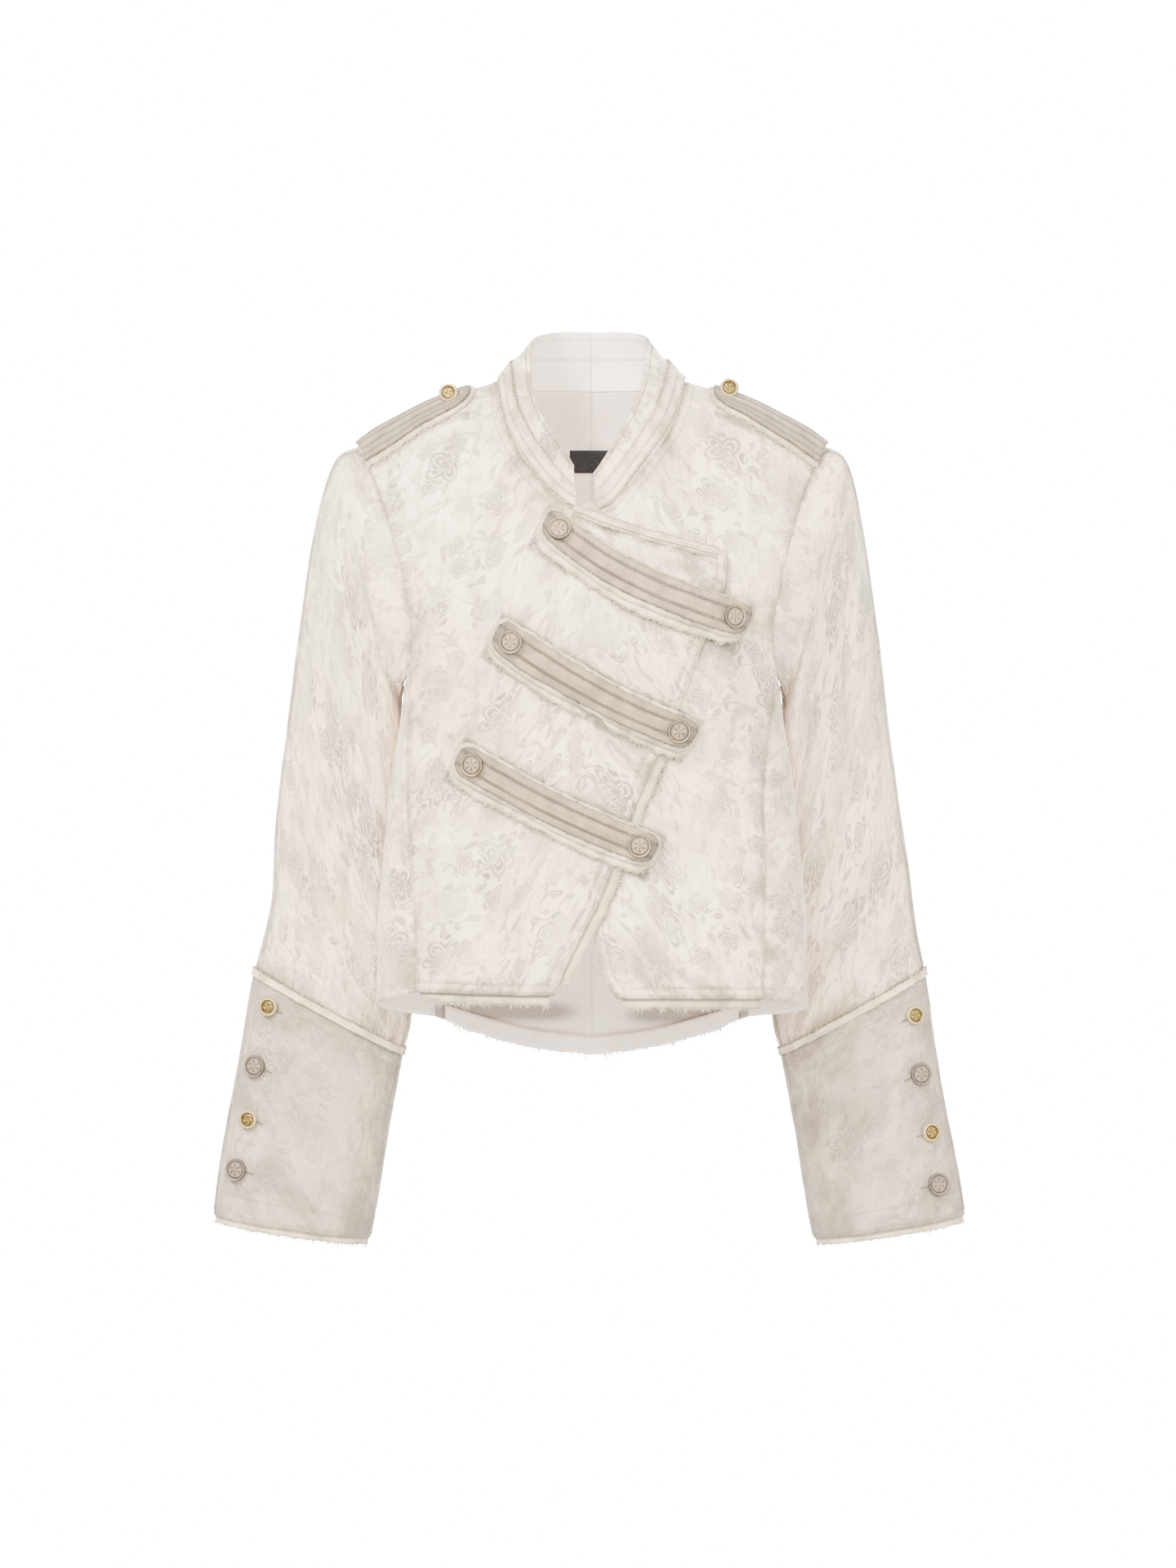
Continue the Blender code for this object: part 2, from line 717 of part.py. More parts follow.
# Sleeves and cuffs
def ring(row, hand, power):
    """Points round one section, by the armhole's steps: outer point first, then the front."""
    outer = np.array((row["outer_left" if hand > 0 else "outer_right"] * hand, row["back"], row["outer_z"]))
    inner = np.array((row["inner"] * hand, row["back"], row["inner_z"]))
    middle, arm = (outer + inner) / 2, (outer - inner) / 2
    points = []
    for k in range(ARM_STEPS):
        angle = 2 * math.pi * k / ARM_STEPS
        c, s = math.cos(angle), math.sin(angle)
        c, s = math.copysign(abs(c) ** (2 / power), c), math.copysign(abs(s) ** (2 / power), s)
        points.append(middle + arm * c + np.array((0, -row["depth"] * s, 0)))
    return points


def tube_normals(rings):
    """Normals of a tube's points from their neighbours, pointing away from the middle."""
    normals = []
    for i, points in enumerate(rings):
        above, below = rings[max(i - 1, 0)], rings[min(i + 1, len(rings) - 1)]
        row = []
        for k in range(len(points)):
            around = points[(k + 1) % len(points)] - points[k - 1]
            row.append(unit(np.cross(around, below[k] - above[k])))
        normals.append(row)
    last = rings[-1]
    outwards = float(np.dot(normals[-1][0], last[0] - sum(last) / len(last)))
    return normals if outwards > 0 else [[-normal for normal in row] for row in normals]


def sleeve_rings(hand):
    seam = [armhole_point(k, hand) for k in range(ARM_STEPS)]
    table = [ring(row, hand, SLEEVE_POWER) for row in rows(SLEEVE)[:-1]]
    table.append(ring(rows(SLEEVE)[-1], hand, CUFF_POWER))
    return [seam] + table


def cuff_rings(hand):
    return [ring(row, hand, CUFF_POWER) for row in rows(CUFF)]


def tube_piece(name, rings, normals, first, last, thick, kind, gap=SEAM):
    steps = list(range(first, last + 1))

    def point(i, j):
        return rings[i][steps[j] % ARM_STEPS]

    def normal(i, j):
        return normals[i][steps[j] % ARM_STEPS]

    sheet_grid(name, point, normal, len(rings), len(steps), thick, kind, gap)


def armhole_normals(hand, own):
    """At the armhole seam both walls lean to the middle of their two directions where the seam is raised."""
    shared = []
    for k in range(ARM_STEPS):
        x, z = armhole(k)
        back = k > ARM_STEPS / 2
        if k == ARM_STEPS / 2:
            cloth = side_normal(0.0, z, hand)
        else:
            cloth = torso_normal(hand * x, to_flat(x, z), back)
        shared.append(unit(cloth + own[k]) if np.dot(cloth, own[k]) > 0.3 else own[k])
    return shared


def make_sleeves():
    for hand, name in ((-1, "right"), (1, "left")):
        rings = sleeve_rings(hand)
        normals = tube_normals(rings)
        normals[0] = armhole_normals(hand, normals[0])
        tube_piece("sleeve_front_" + name, rings, normals, SLEEVE_BACK_SEAM, SLEEVE_FRONT_SEAM, CLOTH, "cloth")
        last = SLEEVE_BACK_SEAM + ARM_STEPS
        tube_piece("sleeve_back_" + name, rings, normals, SLEEVE_FRONT_SEAM, last, CLOTH, "cloth")
        rings = cuff_rings(hand)
        normals = tube_normals(rings)
        tube_piece("cuff_front_" + name, rings, normals, SLEEVE_BACK_SEAM, SLEEVE_FRONT_SEAM, CLOTH, "cloth")
        tube_piece("cuff_back_" + name, rings, normals, SLEEVE_FRONT_SEAM, last, CLOTH, "cloth")
        loose_ring("cuff_band_" + name, rings, normals, LAID + PLY, -0.5 * MM, CUFF_BAND_WIDTH, PLY, 0)
        inside = -(CLOTH + 0.4 * MM)
        loose_ring("cuff_ply_" + name, rings, normals, inside, -CUFF_PLY_HELD, CUFF_PLY_DROP, PLY, -1)


def loose_ring(name, rings, normals, out, high, low, thick, end):
    """A closed band round a tube: from high to low along the tube, measured from its end ring."""
    near = rings[end]
    other = rings[1] if end == 0 else rings[-2]
    outer, facing = [], []
    for reach in (high, low):
        for k in range(ARM_STEPS):
            way = unit(other[k] - near[k]) * (1 if end == 0 else -1)
            outer.append(near[k] + way * reach + normals[end][k] * out)
            facing.append(normals[end][k])
    outer, facing = np.array(outer), np.array(facing)
    inner = outer - facing * thick
    n = ARM_STEPS
    faces = []
    for k in range(n):
        a, b = k, (k + 1) % n
        faces.append([a, b, b + n, a + n])
        faces.append([b + 2 * n, a + 2 * n, a + 3 * n, b + 3 * n])
        faces.append([b, a, a + 2 * n, b + 2 * n])
        faces.append([a + n, b + n, b + 3 * n, a + 3 * n])
    add(name, np.concatenate([outer, inner]), faces, "ply")


# Collar
def collar_base(turn):
    """Point of the neck seam at a turn from the right front end (0) round the back (0.5)."""
    hand = -1 if turn <= 0.5 else 1
    share = turn if turn <= 0.5 else 1 - turn
    name = "right" if hand < 0 else "left"
    front = NECK_FRONT_STEPS / COLLAR_STEPS
    if share < front:
        start = NECK_START[name]
        out = start + (NECK_SHOULDER - start) * math.sin(share / front * math.pi / 2)
        z = float(smooth(NECK, "out", name, out))
        return torso(hand * out, to_flat(out, z), False)
    out = NECK_SHOULDER * math.cos((share - front) / (0.5 - front) * math.pi / 2)
    z = float(smooth(NECK, "out", "back", out))
    return torso(hand * out, to_flat(out, z), True)


def collar_top(turn):
    return np.array([float(smooth(COLLAR, "turn", axis, turn)) for axis in ("x", "y", "z")])


def collar_point(turn, up):
    """up 0 is the neck seam and 1 the top edge; the band bows out a little."""
    low, high = collar_base(turn), collar_top(turn)
    flat = np.array((low[0] + high[0], low[1] + high[1] - 0.02, 0)) / 2
    return low + (high - low) * up + unit(flat) * 0.0025 * math.sin(math.pi * up)


def collar_normal(turn, up):
    step = 0.004
    around = collar_point(min(turn + step, 1), up) - collar_point(max(turn - step, 0), up)
    rise = collar_point(turn, min(up + 0.05, 1)) - collar_point(turn, max(up - 0.05, 0))
    normal = unit(np.cross(around, rise))
    away = collar_point(turn, up) - np.array((0, -0.01, 0.0))
    away[2] = 0
    return normal if np.dot(normal, away) > 0 else -normal


def make_collar():
    half = COLLAR_STEPS // 2
    for name, first in (("right", 0), ("left", half)):

        def turn_at(j):
            return (first + j) / COLLAR_STEPS

        def stand(i, j):
            return collar_point(turn_at(j), 0.012 + 0.988 * i / COLLAR_ROWS)

        def stand_out(i, j):
            return collar_normal(turn_at(j), i / COLLAR_ROWS)

        sheet_grid("collar_" + name, stand, stand_out, COLLAR_ROWS + 1, half + 1, CLOTH, "cloth")

        def bound(i, j):
            up = (BINDING_FROM, 0.25, 0.50)[i]
            return collar_point(turn_at(j), up) + collar_normal(turn_at(j), up) * (BINDING_OUT + PLY)

        def bound_out(i, j):
            return collar_normal(turn_at(j), (BINDING_FROM, 0.25, 0.50)[i])

        sheet_grid("collar_binding_" + name, bound, bound_out, 3, half + 1, PLY, "ply")


# Layers on the fronts
def top_lift(x, z):
    """Height of the outermost front over the body form, eased down past the overlapping edge."""
    edge = float(np.interp(-z, -column(RIGHT_EDGE, "height")[5:], column(RIGHT_EDGE, "x")[5:]))
    past = x - edge
    return overlap_lift(x) * (1 - ease(UNDER_PLY_SHOWS + 6 * MM, UNDER_PLY_SHOWS + 26 * MM, past))


def strap_point(row, share, off):
    """Point (x, z) along a strap: share 0 and 1 are its buttons, off is across it."""
    along = np.array((row["x1"] - row["x0"], row["z1"] - row["z0"]))
    way = unit(along)
    across = np.array((-way[1], way[0]))
    place = np.array((row["x0"], row["z0"])) + along * share
    bend = row["sag"] * (4 * share * (1 - share))
    return place + across * (off - bend)


def make_straps():
    for row in rows(STRAPS):
        length = math.dist((row["x0"], row["z0"]), (row["x1"], row["z1"]))
        for layer in rows(STRAP_LAYERS):
            past = layer["past"]

            def place(i, j):
                angle = math.pi * i / STRAP_STEPS
                mix = 0.5 - 0.5 * math.cos(angle)
                even = i / STRAP_STEPS
                where = -past + (length + 2 * past) * (0.45 * mix + 0.55 * even)
                end = min(where + past, length + past - where)
                full = min(1.0, max(end, 0.0) / past)
                round_off = math.sqrt(max(1 - (1 - full) ** 2.6, 0.0)) * 0.72 + 0.28
                t = j / 3
                off = (layer["above"] * (1 - t) - layer["below"] * t) * round_off
                return strap_point(row, where / length, off)

            def point(i, j):
                x, z = place(i, j)
                q = to_flat(x, z)
                rise = top_lift(x, z) + layer["lift"] + layer["thick"]
                return torso(x, q, False) + torso_normal(x, q, False) * rise

            def normal(i, j):
                x, z = place(i, j)
                return torso_normal(x, to_flat(x, z), False)

            kind = "braid" if layer["name"] == "braid" else "ply"
            name = "strap_" + layer["name"] + "_" + row["name"]
            sheet_grid(name, point, normal, STRAP_STEPS + 1, 4, layer["thick"], kind, 0.0)
        top = rows(STRAP_LAYERS)[-1]
        for number, share in ((1, 0.0), (2, 1.0)):
            x, z = strap_point(row, share, 0.0)
            q = to_flat(x, z)
            normal = torso_normal(x, q, False)
            rise = top_lift(x, z) + top["lift"] + top["thick"] + LAID
            button(f"button_strap_{row['name']}_{number}", torso(x, q, False) + normal * rise, normal, LARGE_BUTTON)


def make_epaulettes():
    for hand, name in ((-1, "right"), (1, "left")):
        for layer in rows(EPAULETTE_LAYERS):
            steps = 9

            def place(i, j):
                share = i / steps
                seam = EPAULETTE_OUT - EPAULETTE_SLANT * max(j - 1.5, 0)
                out = seam + (EPAULETTE_IN - seam) * share
                out += layer["inset"] * (2 * share - 1) * (1 if share > 0.5 else 0)
                end = min((1 - share) * 5.0, 1.0)
                narrow = (1 - (1 - EPAULETTE_TAPER) * share) * (0.35 + 0.65 * math.sqrt(1 - (1 - end) ** 2))
                t = j / 5
                reach = (layer["front"] + layer["rear"]) * t - layer["rear"]
                middle = (layer["front"] - layer["rear"]) / 2
                return out, middle + (reach - middle) * narrow

            def spot(out, q):
                if q >= 0:
                    return torso(hand * out, q, False), torso_normal(hand * out, q, False)
                return torso(hand * out, -q, True), torso_normal(hand * out, -q, True)

            def point(i, j):
                base, normal = spot(*place(i, j))
                return base + normal * (layer["lift"] + layer["thick"])

            def normal(i, j):
                return spot(*place(i, j))[1]

            kind = "braid" if layer["name"] == "braid" else "ply"
            sheet_grid(f"epaulette_{layer['name']}_{name}", point, normal, steps + 1, 6, layer["thick"], kind, 0.0)
        out, q = (0.116 if hand < 0 else 0.112), (9 * MM if hand < 0 else 2 * MM)
        base, normal = torso(hand * out, q, False), torso_normal(hand * out, q, False)
        top = rows(EPAULETTE_LAYERS)[-1]
        button("button_epaulette_" + name, base + normal * (top["lift"] + top["thick"] + LAID), normal, SMALL_BUTTON)


def make_trims():
    """Raw plies that show past the edges, the back facing and the label."""
    steps = 12

    def edge_x(z):
        return float(np.interp(-z, -column(RIGHT_EDGE, "height")[5:], column(RIGHT_EDGE, "x")[5:]))

    def under(i, j):
        z = UNDER_PLY_FROM + (UNDER_PLY_TO - UNDER_PLY_FROM) * i / steps
        x = edge_x(z) - UNDER_PLY_HELD + (UNDER_PLY_HELD + UNDER_PLY_SHOWS) * j / 2
        return x, to_flat(x, z)

    def under_point(i, j):
        x, q = under(i, j)
        return torso(x, q, False) + torso_normal(x, q, False) * (overlap_lift(x) - CLOTH - TUCKED)

    def under_out(i, j):
        return torso_normal(*under(i, j), False)

    sheet_grid("front_edge_ply", under_point, under_out, steps + 1, 3, PLY, "ply", 0.0)

    for hand, name in ((-1, "right"), (1, "left")):
        edge = RIGHT_EDGE if hand < 0 else LEFT_EDGE
        inner = column(edge, "x")[-1] * hand
        outer = abs(princess_line(hand, False)[-1][0])
        lift = overlap_lift if hand < 0 else (lambda x: 0.0)

        def ply(i, j):
            out = inner + 0.004 + (outer - inner - 0.006) * i / 9
            z = float(smooth(HEM, "out", name, abs(out))) + HEM_PLY_HELD - (HEM_PLY_HELD + HEM_PLY_DROP) * j / 2
            return hand * out, to_flat(hand * out, z)

        def ply_point(i, j):
            x, q = ply(i, j)
            return torso(x, q, False) + torso_normal(x, q, False) * (lift(x) - CLOTH - TUCKED)

        def ply_out(i, j):
            return torso_normal(*ply(i, j), False)

        sheet_grid("hem_ply_" + name, ply_point, ply_out, 10, 3, PLY, "ply", 0.0)

    def facing(i, j):
        x = -0.126 + 0.252 * i / 18
        z = float(smooth(HEM, "out", "back", abs(x))) + FACING_WIDTH - (FACING_WIDTH + 3 * MM) * j / 2
        return x, to_flat(x, z)

    def facing_point(i, j):
        x, q = facing(i, j)
        return torso(x, q, True) - torso_normal(x, q, True) * (CLOTH + TUCKED)

    def facing_out_way(i, j):
        return torso_normal(*facing(i, j), True)

    sheet_grid("back_hem_facing", facing_point, facing_out_way, 19, 3, PLY, "lining", 0.0)

    def label(i, j):
        x = LABEL["x0"] + (LABEL["x1"] - LABEL["x0"]) * i / 2
        return x, to_flat(x, LABEL["z0"] + (LABEL["z1"] - LABEL["z0"]) * j / 2)

    def label_point(i, j):
        x, q = label(i, j)
        return torso(x, q, True) - torso_normal(x, q, True) * (CLOTH + TUCKED)

    def label_out(i, j):
        return torso_normal(*label(i, j), True)

    sheet_grid("neck_label", label_point, label_out, 3, 3, LABEL["thick"], "label", 0.0)


# Buttons
def button(name, seat, normal, size):
    """A turned button: shank, flat back, raised rim and a low dome, standing on its seat."""
    r = size / 2
    profile = (
        (SHANK_RADIUS, 0.0),
        (SHANK_RADIUS, SHANK),
        (r, SHANK + 0.6 * MM),
        (r * 0.93, SHANK + 2.1 * MM),
        (r * 0.78, SHANK + 1.7 * MM),
    )
    around = 12
    axis = unit(np.array(normal))
    across = unit(np.cross(axis, (0.0, 0.0, 1.0)))
    up = np.cross(axis, across)
    points = [np.array(seat)]
    for radius, height in profile:
        for k in range(around):
            angle = 2 * math.pi * k / around
            points.append(seat + axis * height + (across * math.cos(angle) + up * math.sin(angle)) * radius)
    points.append(seat + axis * (profile[-1][1] + 0.5 * MM))
    faces = [[0, 1 + (k + 1) % around, 1 + k] for k in range(around)]
    for i in range(len(profile) - 1):
        for k in range(around):
            a, b = 1 + i * around + k, 1 + i * around + (k + 1) % around
            faces.append([a, b, b + around, a + around])
    last = 1 + (len(profile) - 1) * around
    faces += [[last + k, last + (k + 1) % around, len(points) - 1] for k in range(around)]
    add(name, points, faces, "large_button" if size > 16 * MM else "small_button")


def make_cuff_buttons():
    for hand, name in ((-1, "right"), (1, "left")):
        rings = cuff_rings(hand)
        normals = tube_normals(rings)
        for row in rows(CUFF_BUTTONS):
            x, z = hand * row[name + "_x"], row[name + "_z"]
            best = None
            for i in range(len(rings) - 1):
                for k in range(ARM_STEPS // 2):
                    corners = (rings[i][k], rings[i][k + 1], rings[i + 1][k + 1], rings[i + 1][k])
                    for u in np.linspace(0, 1, 9):
                        for v in np.linspace(0, 1, 9):
                            upper = corners[0] * (1 - u) + corners[1] * u
                            lower = corners[3] * (1 - u) + corners[2] * u
                            place = upper * (1 - v) + lower * v
                            miss = math.hypot(place[0] - x, place[2] - z)
                            if best is None or miss < best[0]:
                                best = (miss, place, unit(normals[i][k] + normals[i + 1][k + 1]))
            seat = best[1] + best[2] * LAID
            button(f"button_cuff_{name}_{row['name']}", seat, best[2], row["size"])


for old in list(bpy.data.objects):
    bpy.data.objects.remove(old)
make_fronts()
make_backs()
make_sides()
make_sleeves()
make_collar()
make_straps()
make_epaulettes()
make_trims()
make_cuff_buttons()
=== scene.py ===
import json
import math

import bpy
import numpy as np
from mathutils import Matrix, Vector
from mathutils.bvhtree import BVHTree
from mathutils.geometry import delaunay_2d_cdt

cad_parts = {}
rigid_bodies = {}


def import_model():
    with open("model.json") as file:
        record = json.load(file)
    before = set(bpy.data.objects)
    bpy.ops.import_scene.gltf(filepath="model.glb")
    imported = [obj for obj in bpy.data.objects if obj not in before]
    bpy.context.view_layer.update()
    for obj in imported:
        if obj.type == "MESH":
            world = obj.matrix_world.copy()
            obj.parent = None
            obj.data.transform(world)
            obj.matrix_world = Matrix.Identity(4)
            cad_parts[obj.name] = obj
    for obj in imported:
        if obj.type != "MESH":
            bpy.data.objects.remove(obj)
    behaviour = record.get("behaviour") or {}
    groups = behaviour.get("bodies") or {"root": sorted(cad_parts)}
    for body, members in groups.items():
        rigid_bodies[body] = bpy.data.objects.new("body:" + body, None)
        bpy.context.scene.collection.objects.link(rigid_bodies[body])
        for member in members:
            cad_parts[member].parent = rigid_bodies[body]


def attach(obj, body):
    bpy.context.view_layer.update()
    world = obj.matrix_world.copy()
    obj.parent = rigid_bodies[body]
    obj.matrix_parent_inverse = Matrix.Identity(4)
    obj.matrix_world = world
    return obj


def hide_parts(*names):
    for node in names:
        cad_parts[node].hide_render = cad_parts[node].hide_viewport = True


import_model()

for start_up in ("Cube", "Light", "Camera"):
    if start_up in bpy.data.objects:
        bpy.data.objects.remove(bpy.data.objects[start_up])
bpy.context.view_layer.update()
MM = 0.001
HANDS = ((-1, "right"), (1, "left"))

# Cloth sizes: thicknesses, the spacing of points, and how far an edge rolls in and down
CLOTH, PLY = 1.8 * MM, 1.1 * MM
CELL = 4.6 * MM
ROLL_IN, ROLL_DROP = 2.2 * MM, 0.8 * MM
FOLD_DEPTH = 1.5

# Body form, as the solids have it, in metres from the frame's origin
FRONT_POWER, BACK_POWER, SHOULDER_POWER = 2.4, 2.1, 1.6
SHOULDER_DROP, SHOULDER_ARC = 0.100, 0.090
BODY = dict(
    columns=("height", "half_width", "side_y", "front_y", "back_y"),
    rows=(
        (0.080, 0.225, 0.000, -0.060, 0.060),
        (0.000, 0.225, 0.000, -0.068, 0.076),
        (-0.050, 0.224, 0.000, -0.080, 0.090),
        (-0.100, 0.215, -0.006, -0.096, 0.100),
        (-0.150, 0.200, -0.014, -0.112, 0.104),
        (-0.200, 0.174, -0.021, -0.120, 0.102),
        (-0.225, 0.162, -0.024, -0.120, 0.100),
        (-0.247, 0.1550, -0.025, -0.118, 0.097),
        (-0.275, 0.1575, -0.026, -0.114, 0.092),
        (-0.337, 0.1655, -0.027, -0.108, 0.084),
        (-0.382, 0.1700, -0.027, -0.106, 0.083),
        (-0.430, 0.1750, -0.027, -0.108, 0.088),
        (-0.500, 0.1775, -0.027, -0.114, 0.096),
        (-0.570, 0.1780, -0.027, -0.118, 0.102),
    ),
)
RIDGE = dict(
    columns=("out", "height"),
    rows=(
        (0.000, 0.075), (0.040, 0.044), (0.077, 0.008), (0.106, -0.001), (0.142, -0.016),
        (0.179, -0.036), (0.1955, -0.0475), (0.240, -0.078),
    ),
)
BUST_OUT, BUST_HEIGHT, BUST_RISE, BUST_SPREAD = 0.078, -0.205, 0.007, 0.050
ARM_TOP, ARM_BOTTOM = -0.0475, -0.247
FRONT_NOTCH, BACK_NOTCH = 10 / 24, 15 / 24
ARMHOLE = dict(
    columns=("height", "front", "back"),
    rows=(
        (-0.0475, 0.1955, 0.1955),
        (-0.062, 0.1860, 0.1900),
        (-0.088, 0.1740, 0.1820),
        (-0.113, 0.1660, 0.1755),
        (-0.150, 0.1560, 0.1675),
        (-0.176, 0.1505, 0.1620),
        (-0.200, 0.1470, 0.1575),
        (-0.222, 0.1475, 0.1545),
        (-0.240, 0.1520, 0.1545),
        (-0.247, 0.1550, 0.1550),
    ),
)
PRINCESS = dict(
    columns=("height", "right", "left", "back"),
    rows=(
        (-0.205, 0.1475, 0.1475, 0.1565),
        (-0.230, 0.1480, 0.1485, 0.1530),
        (-0.260, 0.1490, 0.1470, 0.1460),
        (-0.300, 0.1505, 0.1415, 0.1380),
        (-0.337, 0.1505, 0.1385, 0.1330),
        (-0.376, 0.1475, 0.1395, 0.1310),
        (-0.420, 0.1450, 0.1400, 0.1310),
        (-0.500, 0.1420, 0.1390, 0.1330),
        (-0.570, 0.1400, 0.1380, 0.1340),
    ),
)
HEM = dict(
    columns=("out", "right", "left", "back"),
    rows=(
        (0.000, -0.4970, -0.4990, -0.5550),
        (0.055, -0.4965, -0.4990, -0.5475),
        (0.090, -0.4960, -0.4995, -0.5380),
        (0.135, -0.4950, -0.5005, -0.5220),
        (0.160, -0.4950, -0.5015, -0.5090),
        (0.1775, -0.4965, -0.5020, -0.5000),
    ),
)
NECK = dict(
    columns=("out", "right", "left", "back"),
    rows=(
        (0.000, -0.1100, -0.1100, 0.0060),
        (0.016, -0.1060, -0.1030, 0.0060),
        (0.030, -0.0960, -0.0850, 0.0055),
        (0.049, -0.0740, -0.0590, 0.0050),
        (0.064, -0.0475, -0.0360, 0.0050),
        (0.072, -0.0245, -0.0140, 0.0060),
        (0.077, 0.0080, 0.0080, 0.0080),
    ),
)
NECK_SHOULDER, NECK_START, NECK_FRONT = 0.077, dict(right=0.012, left=0.005), 11 / 32
RIGHT_EDGE = dict(
    columns=("x", "height"),
    rows=(
        (-0.012, -0.1050), (0.013, -0.1150), (0.044, -0.1250), (0.072, -0.1325), (0.101, -0.1395),
        (0.107, -0.1425), (0.108, -0.1500), (0.105, -0.1700), (0.098, -0.1900), (0.088, -0.2130),
        (0.080, -0.2350), (0.071, -0.2600), (0.054, -0.2990), (0.036, -0.3400), (0.018, -0.3900),
        (0.002, -0.4300), (-0.012, -0.4560), (-0.021, -0.4740), (-0.030, -0.4960),
    ),
)
LEFT_EDGE = dict(
    columns=("x", "height"),
    rows=(
        (0.005, -0.1080), (-0.002, -0.1500), (-0.004, -0.2500), (-0.004, -0.3500),
        (-0.003, -0.4200), (0.001, -0.4470), (0.006, -0.4710), (0.012, -0.4870), (0.020, -0.4985),
    ),
)
OVERLAP_LIFT, OVERLAP_FADE_FROM, OVERLAP_FADE_TO = 5.0 * MM, -0.095, -0.035
EDGE_PLY_SHOWS, EDGE_PLY_HELD = 9 * MM, 10 * MM
TAB_TOP = ((-0.014, -0.1050), (0.013, -0.1160), (0.044, -0.1262), (0.072, -0.1335), (0.1005, -0.1405))
SLEEVE = dict(
    columns=("outer_right", "outer_left", "outer_z", "inner", "inner_z", "depth", "back"),
    rows=(
        (0.2095, 0.2080, -0.0545, 0.1575, -0.2620, 0.0670, 0.000),
        (0.2200, 0.2170, -0.0740, 0.1560, -0.2820, 0.0640, 0.005),
        (0.2300, 0.2250, -0.1090, 0.1550, -0.3080, 0.0595, 0.014),
        (0.2380, 0.2320, -0.1500, 0.1565, -0.3380, 0.0560, 0.025),
        (0.2460, 0.2400, -0.2000, 0.1555, -0.3720, 0.0530, 0.035),
        (0.2530, 0.2460, -0.2490, 0.1540, -0.4050, 0.0505, 0.043),
        (0.2590, 0.2520, -0.2950, 0.1525, -0.4350, 0.0475, 0.050),
        (0.2650, 0.2590, -0.3400, 0.1510, -0.4620, 0.0445, 0.056),
        (0.2685, 0.2660, -0.3850, 0.1500, -0.4880, 0.0415, 0.060),
        (0.2710, 0.2710, -0.4230, 0.1510, -0.5120, 0.0390, 0.062),
        (0.2770, 0.2750, -0.4530, 0.1530, -0.5320, 0.0375, 0.062),
        (0.28445, 0.28095, -0.4816, 0.1584, -0.5496, 0.0380, 0.060),
    ),
)
CUFF = dict(
    columns=("outer_right", "outer_left", "outer_z", "inner", "inner_z", "depth", "back"),
    rows=(
        (0.2845, 0.2810, -0.4820, 0.1585, -0.5500, 0.0380, 0.060),
        (0.2905, 0.2855, -0.5120, 0.1630, -0.5750, 0.0390, 0.060),
        (0.2980, 0.2915, -0.5560, 0.1690, -0.6080, 0.0400, 0.059),
        (0.3060, 0.2990, -0.6010, 0.1745, -0.6420, 0.0410, 0.058),
        (0.3140, 0.3080, -0.6450, 0.1800, -0.6760, 0.0420, 0.057),
        (0.3195, 0.3150, -0.6890, 0.1860, -0.7090, 0.0430, 0.056),
    ),
)
SLEEVE_POWER, CUFF_POWER = 2.0, 2.2
TURNS = 120
OUTER_SEAM, INNER_SEAM = 5, 55
COLLAR = dict(
    columns=("turn", "x", "y", "z"),
    rows=(
        (0.00, -0.0145, -0.0700, -0.0680),
        (0.10, -0.0290, -0.0640, -0.0440),
        (0.20, -0.0440, -0.0480, -0.0170),
        (0.30, -0.0510, -0.0220, 0.0170),
        (0.38, -0.0490, 0.0120, 0.0440),
        (0.44, -0.0300, 0.0440, 0.0530),
        (0.50, 0.0000, 0.0560, 0.0545),
        (0.56, 0.0290, 0.0440, 0.0530),
        (0.62, 0.0460, 0.0120, 0.0440),
        (0.70, 0.0430, -0.0220, 0.0140),
        (0.80, 0.0340, -0.0480, -0.0160),
        (0.90, 0.0190, -0.0650, -0.0460),
        (1.00, 0.0000, -0.0730, -0.0760),
    ),
)
STRAPS = dict(
    columns=("name", "x0", "z0", "x1", "z1", "sag"),
    rows=(
        ("upper", -0.026, -0.127, 0.108, -0.193, 0.008),
        ("middle", -0.064, -0.213, 0.067, -0.283, 0.004),
        ("lower", -0.094, -0.311, 0.037, -0.376, 0.003),
    ),
)
STRAP_LAYERS = dict(
    columns=("name", "above", "below", "past", "lift", "thick"),
    rows=(
        ("base", 14.5 * MM, 22.0 * MM, 18.0 * MM, 1.2 * MM, 1.0 * MM),
        ("ply", 14.5 * MM, 16.5 * MM, 16.5 * MM, 2.6 * MM, 1.0 * MM),
        ("braid", 12.5 * MM, 12.5 * MM, 14.0 * MM, 4.2 * MM, 1.8 * MM),
    ),
)
EPAULETTE_OUT, EPAULETTE_IN, EPAULETTE_TAPER = 0.1935, 0.097, 0.80
EPAULETTE_LAYERS = dict(
    columns=("name", "front", "rear", "lift", "thick", "inset"),
    rows=(
        ("base", 64 * MM, 12 * MM, 1.1 * MM, 1.0 * MM, 0.0 * MM),
        ("braid", 57 * MM, 8 * MM, 2.8 * MM, 1.8 * MM, 3.0 * MM),
    ),
)
CUFF_BUTTONS = dict(
    columns=("name", "right_x", "right_z", "left_x", "left_z"),
    rows=(
        ("1_small", 0.2690, -0.5130, 0.2690, -0.5220),
        ("2_large", 0.2790, -0.5620, 0.2740, -0.5690),
        ("3_small", 0.2870, -0.6070, 0.2815, -0.6160),
        ("4_large", 0.2960, -0.6510, 0.2890, -0.6610),
    ),
)

